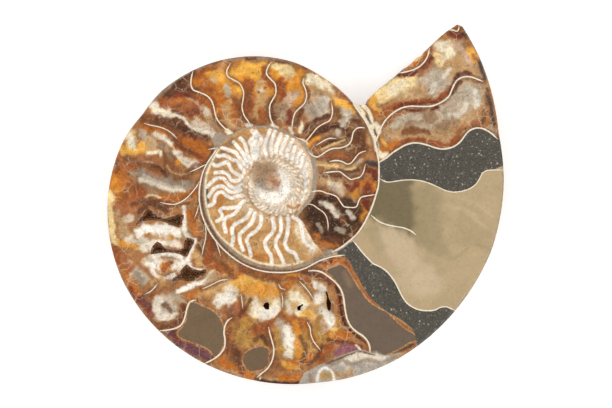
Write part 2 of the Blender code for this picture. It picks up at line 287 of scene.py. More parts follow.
LAST_WALL = SEPTA["last_septum_3"][1]
UPPER_SHORE = SEPTA["mud_edge_1"][1][:-2]
LOWER_SHORE = SEPTA["mud_edge_3"][1]
PATCHES = {
    "speckled_mud_upper": ("speckled_mud", (
        378.6,163, *LAST_WALL[2:], 512,144, 514,170, *backwards(UPPER_SHORE),
    )),
    "plain_mud_sea": ("plain_mud", (
        *UPPER_SHORE, 514,170, 514,240, 470,318, *backwards(LOWER_SHORE), 357,236, 363,228, 368,218,
        373,207, 377,195, 379,185,
    )),
    "speckled_mud_lower": ("speckled_mud", (
        *LOWER_SHORE, 470,318, 430,352, 417,344, 416,338, 412,329, 403,321, 395,316, 386,311, 378,304.5,
        371,298.5, 366,291, 361,283, 357,275, 352.5,268, 350,261.5, 345,256.5, 337,253, 344,247.5,
    )),
    "brown_mud": ("plain_mud", (
        347,270, 353,280, 360,291, 368,301.5, 377,308, 386,312.5, 392,318, 399,325, 407,331, 413,334,
        416.5,339.5, 409,342, 401,347, 392,351.7, 384,354.7, 377,353.5, 371,351, 370,345, 365,338,
        358,332.5, 352,327, 348.5,320, 346.7,312, 345.5,303, 344.3,295, 341.5,288, 337,281.5, 332.5,275.5,
        327,271, 335,267, 342,265.5,
    )),
    "mud_pocket_1": ("plain_mud", (
        190,302, 196,303.7, 203,307, 211,310.5, 217,315.5, 221,322, 223.5,329.5, 224,337, 223,344.5,
        220,351, 216,356, 212,352, 207.5,348, 200,344.5, 191,341, 183.5,338.7, 178.5,335, 179.5,331,
        184,326.5, 187.3,319, 188.3,310,
    )),
    "mud_pocket_2": ("plain_mud", (
        246,353, 252,349.3, 260,347.3, 266,348.3, 268.5,352, 267.3,357, 268,362, 264.5,367.5, 257.5,370,
        250,370.5, 245.3,366, 243.3,360,
    )),
    "seam": ("seam", (
        219,146, 212,156, 207.5,166, 204.5,177, 203.3,190, 204,203, 206.7,215, 211.5,225.5, 218,236,
        226,245.5, 236,254, 247.5,260.5, 261,264.7, 276,266.2, 290,266, 302,263.3, 313,258.5, 321,253.7,
        328,250, 335,250.5, 341,247.5, 348,243, 354,238.5, 356,241, 350,246, 342,251.5, 336,254, 327,257,
        317,260.7, 305,266.5, 291,270.5, 275,271, 259,268.5, 246,264.7, 235,259, 226,251.7, 218,243,
        211,233, 205.5,222, 202,210.5, 200.5,198, 200.7,185, 203,173.5, 207.5,163.5, 213,154.5, 214.5,146.5,
        213,138.5, 217,132.5, 226,135.5, 232,134, 238,131, 246,128.3, 255,126.6, 264,126.3, 273,127.4,
        281,129.5, 288,132.5, 295,136.7, 302,140.5, 307,145.7, 311,152, 315,158.5, 317,166, 318,174,
        317,182, 315.5,190, 313.5,197, 309.5,203, 304,208, 299.5,213.5, 296,216, 295.3,213, 299,207.5,
        303.3,202, 306.7,196, 308.5,189, 309.5,181, 309,173, 307.5,165, 305,157, 301,149.5, 296.5,143.5,
        290.5,139, 283.5,135, 275.5,131.7, 265,129.7, 255,129.9, 246,131.7, 239,135, 231.5,138.7, 226,143,
    )),
    "lumpy_matrix": ("seam", (
        304,373, 311,370, 318,366.3, 326,363, 335,358.5, 345,354.5, 352,352, 359,350.3, 366,351.3,
        374,353.7, 383,355.3, 391,355, 400,353, 406,356, 400,368, 360,392, 302,392,
    )),
}
REGIONS = ["calcite", "septum", "speckled_mud", "plain_mud", "seam", "shell_back", "hollow_wall"]
print(len(PATCHES), "patches")

# %% [markdown]
# ## The stone's back and rim
# The back of the stone is already right in the solid: the flank, the ribs, the umbilicus and the broken
# ledge. So its mesh is copied, and only the flat top is taken off, because the top needs a much finer mesh
# with the septa and patches drawn into it. What is left is the outside, and the walls and floors of the
# hollows.

# %% Copy the solid without its flat top
SAME_PLACE = 1e-7
LEVEL = 1e-6


def welded_copy(name):
    """The mesh of one of the solid's nodes, with the corners that lie in the same place made one."""
    mesh = bmesh.new()
    mesh.from_mesh(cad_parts[name].data)
    bmesh.ops.remove_doubles(mesh, verts=mesh.verts[:], dist=SAME_PLACE)
    return mesh


stone = welded_copy("ammonite")
flat = [face for face in stone.faces if all(corner.co.z > FACE_HEIGHT - LEVEL for corner in face.verts)]
bmesh.ops.delete(stone, geom=flat, context="FACES")
bmesh.ops.subdivide_edges(stone, edges=stone.edges[:], cuts=1, use_grid_fill=True)
print(len(stone.faces), "faces in the back, the rim and the hollows")

# %% [markdown]
# Taking the top off leaves open edges. They run in closed loops: the longest is the outline of the fossil,
# and the others are the mouths of the hollows and of the small holes.

# %% Follow the open edges round
def open_loops(mesh):
    """The closed loops of open edges, each as its vertices in order, longest first."""
    rim = [edge for edge in mesh.edges if edge.is_boundary]
    left = set(rim)
    loops = []
    for edge in rim:
        if edge not in left:
            continue
        left.discard(edge)
        loop = [edge.verts[0], edge.verts[1]]
        while following := [link for link in loop[-1].link_edges if link in left]:
            left.discard(following[0])
            loop.append(following[0].other_vert(loop[-1]))
        loops.append(loop[:-1])
    return sorted(loops, key=len, reverse=True)


loop_pixels = [to_pixels([vertex.co for vertex in loop]) for loop in open_loops(stone)]
print("outline of", len(loop_pixels[0]), "points, and", len(loop_pixels) - 1, "hollows")

# %% [markdown]
# ## One flat face, many patches
# Real septa vary a little in width and fade out at their ends, so each line is widened into a strip with an
# uneven edge. The strips and patches could be a painted picture, but as real edges in the mesh they stay
# sharp from any distance.

# %% Strips for the septa, outlines for the patches
LINE_SHARE = 0.74
LINE_STEP, PATCH_STEP = 1.6, 4.0
THINNEST, TAPER_STEPS = 0.45, 3
WOBBLE, WOBBLE_SCALE, WOBBLE_SEED = 0.3, 0.35, 3.1


def strip(width, marks):
    """The outline of a line of some width, a little uneven, and narrower at its ends."""
    path = smooth(marks, LINE_STEP)
    ahead = np.gradient(path, axis=0)
    side = np.column_stack((-ahead[:, 1], ahead[:, 0])) / np.linalg.norm(ahead, axis=1)[:, None]
    place = np.linspace(0, 1, len(path))
    taper = np.clip(np.minimum(place, 1 - place) * len(path) / TAPER_STEPS, THINNEST, 1)
    uneven = [noise.noise(Vector((x * WOBBLE_SCALE, y * WOBBLE_SCALE, WOBBLE_SEED))) for x, y in path]
    half = (LINE_SHARE * width / 2 * taper * (1 + WOBBLE * np.array(uneven)))[:, None]
    return np.vstack((path + side * half, (path - side * half)[::-1]))


strips = {name: strip(width, marks) for name, (width, marks) in SEPTA.items()}
patches = {name: smooth(marks + marks[:2], PATCH_STEP)[:-1] for name, (_, marks) in PATCHES.items()}
print(len(strips), "strips and", len(patches), "patch outlines")

# %% [markdown]
# Between the lines the face is filled with a close-packed pattern of points. The spacing is finer over the
# inner whorls, whose septa are only a pixel or two apart, and coarse over the mud, where the pattern comes
# from the material alone. A point too near a line would make a sliver, so it is left out.

# %% Points to fill the face
COIL_CENTRE = np.array((262.0, 197.0))
COIL_REACH = 69.0
FINE, MEDIUM, COARSE = 0.85, 1.35, 3.2
CLEARANCE = 0.35
NEARBY = 2
FIELD_X, FIELD_Y = (100, 510), (20, 390)
MUDDY = ("speckled_mud", "plain_mud")
muddy = [patches[name] for name, (region, _) in PATCHES.items() if region in MUDDY]


def hexagon_grid(spacing):
    """Points in a close-packed pattern over the part of the photograph that holds the fossil."""
    lines = np.arange(*FIELD_Y, spacing * math.sqrt(0.75))
    columns = np.arange(*FIELD_X, spacing)
    x, y = np.meshgrid(columns, lines)
    x = x + spacing / 2 * (np.arange(len(lines)) % 2)[:, None]
    return np.column_stack((x.ravel(), y.ravel()))


def filling_points(spacing, zone):
    """Points of one zone inside the outline, clear of every line."""
    points = hexagon_grid(spacing)
    points = points[inside(loop_pixels[0], points)]
    in_coil = np.linalg.norm(points - COIL_CENTRE, axis=1) < COIL_REACH
    in_mud = np.any([inside(outline, points) for outline in muddy], axis=0)
    zones = {"coil": in_coil & ~in_mud, "open": ~in_coil & ~in_mud, "mud": in_mud}
    points = points[zones[zone]]
    gap = np.min([distance_to(closed(loop), points) for loop in loop_pixels], axis=0)
    for outline in [*strips.values(), *patches.values()]:
        near = np.all((points > outline.min(0) - NEARBY) & (points < outline.max(0) + NEARBY), axis=1)
        gap[near] = np.minimum(gap[near], distance_to(closed(outline), points[near]))
    return points[gap > CLEARANCE * spacing]


filling = np.vstack([filling_points(*zone) for zone in ((FINE, "coil"), (MEDIUM, "open"), (COARSE, "mud"))])
print(len(filling), "points fill the face")

# %% [markdown]
# A triangulation that keeps given lines then joins all the points, with every drawn line as real edges. It
# also reports which outlines each triangle lies in, so the kind of stone in it is known without a test.

# %% Triangulate the face
MERGE_WITHIN = 1e-5


def turned_left(outline):
    """The outline in the order that keeps its inside on the left, with y up."""
    x, y = outline[:, 0], outline[:, 1]
    area = np.sum(x * np.roll(y, -1) - np.roll(x, -1) * y)
    return outline if area > 0 else outline[::-1]


outlines = [turned_left(outline * Y_UP) for outline in [*loop_pixels, *patches.values(), *strips.values()]]
owner = ["stone"] + ["hole"] * (len(loop_pixels) - 1)
owner += [region for region, _ in PATCHES.values()] + ["septum"] * len(strips)
starts = np.cumsum([0] + [len(outline) for outline in outlines])
indices = [list(range(start, end)) for start, end in zip(starts, starts[1:])]
flat_points = [Vector(point) for point in np.vstack([*outlines, filling * Y_UP])]
corners, _, triangles, _, _, inside_of = delaunay_2d_cdt(flat_points, [], indices, 0, MERGE_WITHIN)
print(len(triangles), "triangles between", len(corners), "points")

# %% [markdown]
# A septum wins over the mud and calcite that it crosses, and a later region over an earlier one. A triangle
# in a hole or past the edge of the fossil is no stone at all, and is left out.

# %% The kind of stone in each triangle
def region_of(faces):
    """The region of a triangle from the outlines it lies in, or None where there is no stone."""
    names = {owner[face] for face in faces}
    if "stone" not in names or "hole" in names:
        return None
    found = [REGIONS.index(name) for name in names if name in REGIONS]
    if REGIONS.index("septum") in found:
        return REGIONS.index("septum")
    return max(found, default=REGIONS.index("calcite"))


regions = [region_of(faces) for faces in inside_of]
pieces = [(triangle, region) for triangle, region in zip(triangles, regions) if region is not None]
print(len(pieces), "of the triangles are stone")

# %% [markdown]
# ## Joining the face to the stone
# A line that runs out to the edge of the face adds a corner there. The wall below has to have the same
# corner, or a crack is left, so the wall's top edge is split at each of them before the two are welded.

# %% Split the rim where the face has corners
ON_LINE = 2e-7
LEAST_SHARE = 1e-4


def end_of(edge, corner, end):
    """Whether the edge leads from the corner towards that end."""
    away = edge.other_vert(corner).co - corner.co
    return away.dot(end - corner.co) > 0


def split_rim(mesh, extra):
    """Adds the extra points to the open edges that they lie on."""
    for edge in [edge for edge in mesh.edges if edge.is_boundary]:
        start, end = (vertex.co.copy() for vertex in edge.verts)
        along = end - start
        share = (extra - np.array(start)) @ np.array(along) / along.length_squared
        place = np.array(start) + np.outer(share, np.array(along))
        between = (share > LEAST_SHARE) & (share < 1 - LEAST_SHARE)
        on = between & (np.linalg.norm(extra - place, axis=1) < ON_LINE)
        origin = edge.verts[0]
        rest = edge
        done = 0.0
        for part in sorted(share[on]):
            if part - done < LEAST_SHARE:
                continue
            rest, corner = bmesh.utils.edge_split(rest, origin, (part - done) / (1 - done))
            rest = next(link for link in corner.link_edges if link.is_boundary and end_of(link, corner, end))
            origin = corner
            done = part


metres = to_metres(np.array(corners) * Y_UP)
top = np.column_stack((metres, np.full(len(metres), FACE_HEIGHT)))
used = sorted({corner for triangle, _ in pieces for corner in triangle})
split_rim(stone, top[used])
print(sum(edge.is_boundary for edge in stone.edges), "edges in the rim after the split")

# %% [markdown]
# Each face of the mesh keeps a number for its kind of stone. The walls of a hollow are rough, and their dark
# finish is partly their own colour and partly painted shade of the deep hollow. The back of the fossil lies
# under the same hollow and must not be taken for a wall, so depth and slope are both tested.

# %% Tell the hollow walls from the back
WALL_DEPTH = 6 * MM
OVERHANG = -0.5
region_layer = stone.faces.layers.int.new("region")
for face in stone.faces:
    face[region_layer] = REGIONS.index("shell_back")
wall_points = np.array([face.calc_center_median()[:2] for face in stone.faces])
in_hollow = np.any([inside(loop, to_pixels(wall_points)) for loop in loop_pixels[1:]], axis=0)
for face, hollow in zip(stone.faces, in_hollow):
    shallow = face.calc_center_median().z > FACE_HEIGHT - WALL_DEPTH
    if hollow and shallow and face.normal.z > OVERHANG:
        face[region_layer] = REGIONS.index("hollow_wall")
print(int(in_hollow.sum()), "faces lie below the mouths of the hollows")

# %% [markdown]
# The triangles of the face come in with corners of their own. Where these lie on the rim they are made one
# with the corners of the rim, which closes the stone again. It is a solid thing, so no open edge may be left.

# %% Weld the new face to the rim and the hollows
RIM_WELD = 1e-6
new = {index: stone.verts.new(top[index]) for index in used}
for triangle, region in pieces:
    face = stone.faces.new([new[corner] for corner in triangle])
    face[region_layer] = region
open_vertices = [vertex for vertex in stone.verts if vertex.is_boundary]
bmesh.ops.remove_doubles(stone, verts=open_vertices, dist=RIM_WELD)
bmesh.ops.triangulate(stone, faces=[face for face in stone.faces if len(face.verts) > 3])
bmesh.ops.recalc_face_normals(stone, faces=stone.faces[:])
open_edges = sum(not edge.is_manifold for edge in stone.edges)
print(len(stone.faces), "faces in the stone, with", open_edges, "open edges")

# %% [markdown]
# The mesh that was edited becomes the mesh of an object. Smooth shading hides the facets of the round back,
# and a sharp angle keeps the rim of the cut crisp, as a saw leaves it.

# %% Make the stone an object
SHARP_ANGLE = math.radians(35)


def mesh_from(name, edited):
    """The edited mesh as one that an object can have."""
    mesh = bpy.data.meshes.new(name)
    edited.to_mesh(mesh)
    edited.free()
    return mesh


def linked(name, data):
    """An object of that name and data, put into the scene."""
    made = bpy.data.objects.new(name, data)
    bpy.context.scene.collection.objects.link(made)
    return made


stone_mesh = mesh_from("ammonite_stone", stone)
ammonite = linked("ammonite_stone", stone_mesh)
stone_mesh.shade_smooth()
stone_mesh.set_sharp_from_angle(angle=SHARP_ANGLE)
print(len(stone_mesh.vertices), "vertices in the stone")

# %% [markdown]
# ## Colour that grew in layers
# The calcite in the chambers took up iron as it grew, so its colour changes from milk white through amber to
# deep brown, in clouds that follow the walls. No noise texture gives such clouds in the right places. So the
# face is painted: each stroke is a line of marks with a pigment, a strength and a reach, and its colour fades
# out towards the reach. The paint is kept for every vertex of the polished face.

# %% The pigments, and the vertices to paint
PIGMENTS = {
    "chalk": (244, 236, 222), "milk": (226, 213, 192), "mist": (188, 172, 150), "slate": (146, 126, 106),
    "cream": (238, 222, 188), "straw": (238, 208, 148), "gold": (232, 170, 70), "amber": (216, 140, 44),
    "honey": (196, 152, 98), "pinkish": (200, 166, 138), "orange": (184, 104, 34), "copper": (150, 78, 34),
    "rust": (160, 98, 60), "ochre": (178, 132, 60), "tan": (180, 141, 98), "clay": (150, 118, 88),
    "brown": (122, 74, 40), "umber": (98, 57, 35), "dark": (62, 37, 22), "maroon": (112, 48, 30),
    "plum": (108, 64, 71), "mauve": (144, 88, 98), "soot": (58, 55, 55), "olive": (117, 103, 74),
    "khaki": (158, 139, 104), "sand": (170, 148, 112), "pale_sand": (196, 174, 140),
}
CALCITE_TONE = (160, 108, 64)
vertex_places = np.zeros(len(stone_mesh.vertices) * 3)
stone_mesh.vertices.foreach_get("co", vertex_places)
vertex_places = vertex_places.reshape(-1, 3)
on_face = vertex_places[:, 2] > FACE_HEIGHT - LEVEL
face_pixels = to_pixels(vertex_places)[on_face]
paint = np.tile(np.asarray(CALCITE_TONE, float), (len(face_pixels), 1))
print(len(PIGMENTS), "pigments for", len(face_pixels), "vertices")

# %% [markdown]
# A growth front is never smooth, so each stroke is bent by noise of two sizes before its colour is laid, and
# the edges of the clouds come out ragged. The bend grows with the reach, up to a limit, so that thin strokes
# stay where they were marked. This noise starts from the clock unless it is given a seed, and with one every
# run bends the strokes alike.

# %% Lay a stroke of colour
BROAD_SIZE, BROAD_SEED, BROAD_SHARE, BROAD_LIMIT = 9.0, 1.5, 0.55, 5.0
SMALL_SIZE, SMALL_SEED, SMALL_SHARE, SMALL_LIMIT = 3.2, 7.5, 0.35, 2.2
BEND_SEED = 5
STROKE_STEP = 2.0
SOFT_SHARE = 0.65
SEARCH_MARGIN = 6


def wander(points, size, seed):
    """A smooth, steady shift for each point, from noise of that size in pixels."""
    return np.array([noise.noise_vector(Vector((x / size, y / size, seed)))[:2] for x, y in points])


noise.seed_set(BEND_SEED)
broad = wander(face_pixels, BROAD_SIZE, BROAD_SEED)
small = wander(face_pixels, SMALL_SIZE, SMALL_SEED)


def lay(stroke, bend, within):
    """Blends one stroke's pigment into the paint, over the vertices within."""
    pigment, strength, reach, *marks = stroke
    path = smooth(marks, STROKE_STEP)
    low, high = path.min(0) - reach - SEARCH_MARGIN, path.max(0) + reach + SEARCH_MARGIN
    near = np.flatnonzero(np.all((face_pixels > low) & (face_pixels < high), axis=1) & within)
    if len(near) == 0:
        return
    shift = broad[near] * min(BROAD_SHARE * reach, BROAD_LIMIT)
    shift += small[near] * min(SMALL_SHARE * reach, SMALL_LIMIT)
    away = distance_to(path, face_pixels[near] + bend * shift)
    share = np.clip((reach - away) / (SOFT_SHARE * reach), 0, 1)
    share = (strength * share**2 * (3 - 2 * share))[:, None]
    paint[near] += share * (np.asarray(PIGMENTS[pigment]) - paint[near])


def lay_all(strokes, bend, within):
    """Lays the strokes in order, so that a later one covers an earlier one."""
    for stroke in strokes:
        lay(stroke, bend, within)
    print(len(strokes), "strokes laid")


most = np.abs(broad).max() * BROAD_LIMIT + np.abs(small).max() * SMALL_LIMIT
print("no stroke is bent by more than", round(float(most), 1), "pixels across or down")

# %% [markdown]
# ## The tones of the mud
# Each mud has one tone to start from, since it set as one mass. The tones also mark where the mud is, so that
# the clouds of the calcite stop at its edge.

# %% A tone for each mud
ON_EDGE = 0.1
MUD_TONES = {
    "seam": (160, 142, 122), "lumpy_matrix": (166, 155, 141), "plain_mud_sea": (180, 157, 120),
    "brown_mud": (107, 90, 74), "mud_pocket_1": (113, 91, 67), "mud_pocket_2": (111, 88, 64),
}


def in_patch(name):
    """Which vertices of the face lie in the patch or on its outline."""
    edge = distance_to(closed(patches[name]), face_pixels)
    return inside(patches[name], face_pixels) | (edge < ON_EDGE)


in_mud = np.zeros(len(face_pixels), bool)
for name, tone in MUD_TONES.items():
    covered = in_patch(name)
    paint[covered] = tone
    in_mud |= covered
in_calcite = ~in_mud
everywhere = np.ones(len(face_pixels), bool)
print(int(in_mud.sum()), "vertices in mud")

# %% [markdown]
# ## The clouds, one part of the fossil after another
# Each stroke below is a pigment, a strength, a reach in pixels, and then its marks. The old chambers at the
# left filled slowly, in many thin layers: milk white next to the walls, then rust and umber, and amber last.

# %% Clouds of colour in the old chambers at the left
LEFT_CLOUDS = (
    ("copper", 1, 14, 160,106, 178,102, 196,108), ("umber", 1, 11, 168,91, 180,84, 190,78),
    ("umber", 1, 6, 183,89, 196,95, 207,98, 212,105), ("rust", 0.8, 8, 170,106, 185,104, 195,107),
    ("maroon", 0.6, 4, 188,113, 197,111), ("orange", 0.7, 3.5, 172,104, 184,99, 190,101),
    ("pinkish", 0.8, 2, 187,97, 194,101, 199,106, 201,112),
    ("slate", 0.9, 3, 152,102, 165,89, 178,78, 190,70.5, 203,65.5),
    ("tan", 0.9, 5, 205,103, 207,112, 212,121), ("milk", 0.8, 4, 203,107, 208,113),
    ("clay", 0.8, 5, 212,124, 221,130), ("brown", 1, 13, 148,121, 165,122, 180,127, 196,136),
    ("umber", 0.7, 5, 156,118, 172,121), ("umber", 0.9, 4.5, 190,132, 199,136, 207,139),
    ("orange", 0.9, 7, 145,127, 155,129, 165,132), ("copper", 1, 12, 180,142, 194,148, 203,156),
    ("orange", 0.8, 6, 186,141, 198,146, 206,152), ("milk", 1, 6, 153,106, 160,111, 168,113.5),
    ("cream", 0.6, 3, 154,107, 161,112, 168,114), ("milk", 0.7, 7, 196,122, 204,128, 212,134),
    ("milk", 1, 3, 168,114, 176,115.5, 183,118.5, 187,123.5, 192,128, 200,130, 210,134, 218,138),
    ("umber", 0.8, 1.5, 176,118.5, 182,121, 186,126, 191,131, 199,134),
    ("mist", 0.9, 7, 143,134, 149,140, 152,148), ("milk", 0.9, 5, 157,134, 164,138, 170,142),
    ("straw", 1, 9, 128,134, 131,143), ("gold", 0.9, 8, 122,150, 134,150, 142,148),
    ("cream", 0.9, 5, 131,136, 133,146), ("orange", 0.9, 5, 117,153, 121,158),
    ("honey", 0.8, 6, 148,142, 155,148), ("cream", 1, 3, 147,153, 154,153, 160,151, 162,156),
    ("brown", 0.8, 9, 170,160, 172,172, 184,177), ("milk", 0.9, 5, 177,152, 182,159, 190,164, 198,165),
    ("amber", 0.9, 4, 177,163), ("rust", 1, 12, 122,166, 140,166, 156,168),
    ("cream", 0.7, 1.4, 121,154, 130,159.5, 141,162, 152,163),
    ("copper", 0.8, 2, 122,163, 135,167, 150,168, 160,172),
    ("brown", 0.8, 2, 163,146, 165,156, 165,166, 169,174, 177,179, 187,178),
    ("tan", 0.9, 1.5, 192,171.5, 184,174, 176,174, 170,171, 167,165),
    ("slate", 1, 9, 138,175, 150,178, 163,182, 176,187, 190,186),
    ("mist", 0.9, 4.5, 146,178, 157,182, 168,187, 180,190), ("clay", 0.8, 5, 140,186, 150,189, 160,193),
    ("orange", 1, 14, 118,172, 116,188, 122,196), ("amber", 0.8, 6, 114,182, 117,190),
    ("copper", 0.9, 8, 132,186, 140,194, 128,203), ("orange", 0.9, 6, 160,197, 172,200, 185,198, 195,190),
    ("brown", 0.8, 2.5, 150,199, 162,203, 176,206, 190,203),
    ("cream", 0.8, 1.5, 141,201, 146,197, 153,195, 160,198),
    ("umber", 0.9, 5, 140,211, 147,205, 156,205, 166,210), ("rust", 0.9, 8, 116,205, 126,210, 134,205),
    ("milk", 0.8, 5, 122,220, 131,218), ("tan", 1, 6, 118,214, 124,232, 126,242),
    ("umber", 0.8, 6, 158,121, 174,124, 190,134), ("dark", 0.6, 3, 176,124, 186,131, 196,139),
    ("umber", 0.6, 4, 112,158, 118,166, 116,172), ("brown", 0.7, 5, 120,200, 128,192, 136,186),
    ("umber", 0.5, 3, 180,104, 174,111, 182,114), ("slate", 0.7, 4, 160,144, 168,150, 170,158),
    ("umber", 0.6, 3.5, 172,140, 186,150, 200,157), ("brown", 0.8, 4, 126,158, 148,166, 166,172),
    ("umber", 0.7, 3, 132,206, 144,199), ("dark", 0.6, 2.5, 152,166, 160,168, 166,176),
    ("cream", 0.7, 1.5, 166,140, 174,148, 178,158, 188,166),
    ("milk", 0.8, 3, 140,180, 154,184, 168,190, 184,191), ("umber", 0.6, 2.5, 186,172, 196,164, 201,168),
    ("chalk", 0.7, 4, 128,137, 131,144), ("maroon", 0.7, 5, 176,95, 190,93),
    ("dark", 0.5, 4, 182,82, 190,76), ("cream", 0.8, 2.5, 150,106, 160,111, 170,115),
    ("straw", 1, 5.5, 110,192, 109.5,205, 110.5,220, 112,232, 115,243),
)
lay_all(LEFT_CLOUDS, 1.0, in_calcite)

# %% [markdown]
# Round the crystal hollows the layers are palest, because the last calcite to grow there was clean. Rings of
# chalk white follow the mouth of each hollow, with rust coloured cores between them.

# %% Clouds round the crystal hollows
HOLLOW_CLOUDS = (
    ("tan", 1, 16, 165,233, 150,240, 180,232), ("chalk", 1, 8, 140,232, 152,229, 164,230, 178,234),
    ("chalk", 0.8, 5, 150,244, 166,243, 178,245), ("milk", 0.9, 7, 130,240, 142,244, 160,250),
    ("milk", 1, 9, 150,262, 165,264, 180,266), ("chalk", 0.9, 4, 153,256, 166,253, 180,257, 184,263),
    ("chalk", 0.9, 4, 154,262, 153,272, 162,279, 174,276), ("tan", 1, 5, 147,236),
    ("orange", 0.9, 4, 147,236), ("honey", 1, 6, 171,238), ("orange", 0.7, 3, 172,237),
    ("orange", 1, 7, 166,266), ("copper", 0.8, 3, 164,270, 170,262), ("mist", 1, 9, 132,270, 141,278),
    ("slate", 0.9, 5, 137,275, 140,280), ("milk", 0.8, 3, 130,262, 128,272, 133,285),
    ("chalk", 0.9, 3, 184,207, 185,217, 184,228, 189,236, 195,241),
    ("chalk", 0.9, 3.5, 195,241, 191,252, 188,261, 192,268, 201,271), ("honey", 1, 6, 196,255, 200,262),
    ("orange", 1, 5, 191,213, 193,224, 196,233), ("umber", 0.7, 3, 200,238, 201,250),
    ("copper", 1, 5, 209,238, 211,250, 207,262), ("umber", 0.6, 4, 212,238, 214,248),
    ("chalk", 1, 3.5, 178,292, 187,287, 197,284, 207,279, 213,272),
    ("mist", 0.9, 4, 206,283, 214,276, 218,268), ("orange", 1, 5, 189,295, 198,293, 208,290),
    ("rust", 1, 8, 118,252, 122,262, 128,268), ("copper", 0.9, 6, 114,250, 120,266),
    ("amber", 0.8, 5, 120,243, 136,246), ("maroon", 0.8, 6, 131,289, 141,300, 150,312),
    ("plum", 0.5, 6, 140,297, 150,306), ("orange", 0.9, 4, 123,268, 131,283, 140,294),
    ("honey", 1, 6, 154,284, 161,280), ("copper", 0.8, 5, 152,296, 160,296),
    ("mist", 1, 12, 160,302, 170,308, 160,314), ("milk", 0.9, 6, 158,300, 158,312, 166,320, 175,316),
    ("umber", 0.7, 4, 165,304, 170,311), ("mist", 0.8, 5, 174,296, 181,300),
    ("brown", 0.9, 5, 146,318, 156,325, 168,325, 179,318, 184,308),
    ("umber", 0.8, 3, 162,328, 174,325, 182,316),
)
lay_all(HOLLOW_CLOUDS, 1.0, in_calcite)

# %% [markdown]
# The chambers of the top arc are clear amber, so light goes into them and they look bright. Broad strokes of
# amber and gold come first, and the darker copper along the septa goes over them.

# %% Clouds in the chambers of the top arc
TOP_CLOUDS = (
    ("amber", 1, 22, 208,85, 230,80, 255,80, 285,82, 300,90), ("copper", 0.9, 12, 203,98, 222,104, 238,112),
    ("orange", 0.9, 14, 204,82, 214,98, 226,116), ("gold", 0.9, 8, 212,72, 222,76, 238,72),
    ("honey", 0.9, 7, 228,104, 226,118, 230,126), ("mist", 0.8, 4, 214,80),
    ("mist", 0.9, 5, 227,87, 228,94), ("gold", 0.8, 4, 236,86, 240,92),
    ("copper", 0.9, 4, 198,76, 205,70, 214,68), ("copper", 0.8, 3, 196,90, 204,88, 212,92),
    ("brown", 0.7, 3.5, 237,100, 239,112, 243,120), ("gold", 1, 10, 246,68, 256,72, 262,66),
    ("copper", 1, 8, 248,84, 249,96, 247,108), ("brown", 0.6, 4, 249,90, 250,102),
    ("copper", 0.9, 4, 264,68, 264,78, 270,86), ("honey", 1, 7, 260,84, 262,94, 260,104),
    ("milk", 0.6, 4, 262,90), ("umber", 0.7, 2, 259,92), ("umber", 0.7, 2, 265,88),
    ("copper", 0.8, 7, 260,112, 264,120), ("honey", 0.8, 4, 255,108, 256,116),
    ("brown", 0.7, 4, 254,122, 264,124), ("straw", 1, 7, 276,66, 284,70, 292,72),
    ("amber", 1, 6, 292,80, 300,74), ("copper", 1, 7, 281,82, 282,92, 285,98),
    ("pinkish", 1, 7, 294,94, 290,100, 284,108), ("clay", 0.9, 8, 280,108, 282,118),
    ("mist", 0.5, 4, 283,114), ("maroon", 0.8, 4, 289,112, 291,119, 288,124),
    ("umber", 0.8, 3, 272,98, 272,110, 275,120), ("cream", 1, 9, 310,80, 320,84, 328,90),
    ("tan", 1, 9, 312,93, 324,95), ("mist", 1, 12, 312,108, 322,106, 318,116),
    ("slate", 0.7, 6, 308,102, 314,114), ("milk", 0.6, 5, 325,100, 327,110),
    ("cream", 0.9, 3, 297,120, 301,125, 300,132), ("umber", 0.9, 3.5, 303,110, 299,116, 297,124),
    ("umber", 1, 4, 304,132, 311,124, 320,119, 326,116), ("brown", 0.8, 3, 306,86, 309,94, 308,102),
    ("slate", 0.9, 2.5, 203,65.5, 216,61, 232,58.5, 248,57.5, 262,57.5, 275,59.5, 290,63.5),
    ("umber", 0.8, 1.8, 206,64.5, 222,60.5), ("umber", 0.8, 1.8, 246,58.5, 256,58.5),
    ("umber", 0.8, 1.8, 276,60.5, 288,63.5), ("umber", 0.7, 2, 303,67.5, 306,68.5),
)
lay_all(TOP_CLOUDS, 1.0, in_calcite)

# %% [markdown]
# At the right of the coil the chambers are narrow and crowded, with clay coloured and nearly black fillings
# side by side. Here the strokes are short, and most are only a few pixels wide.

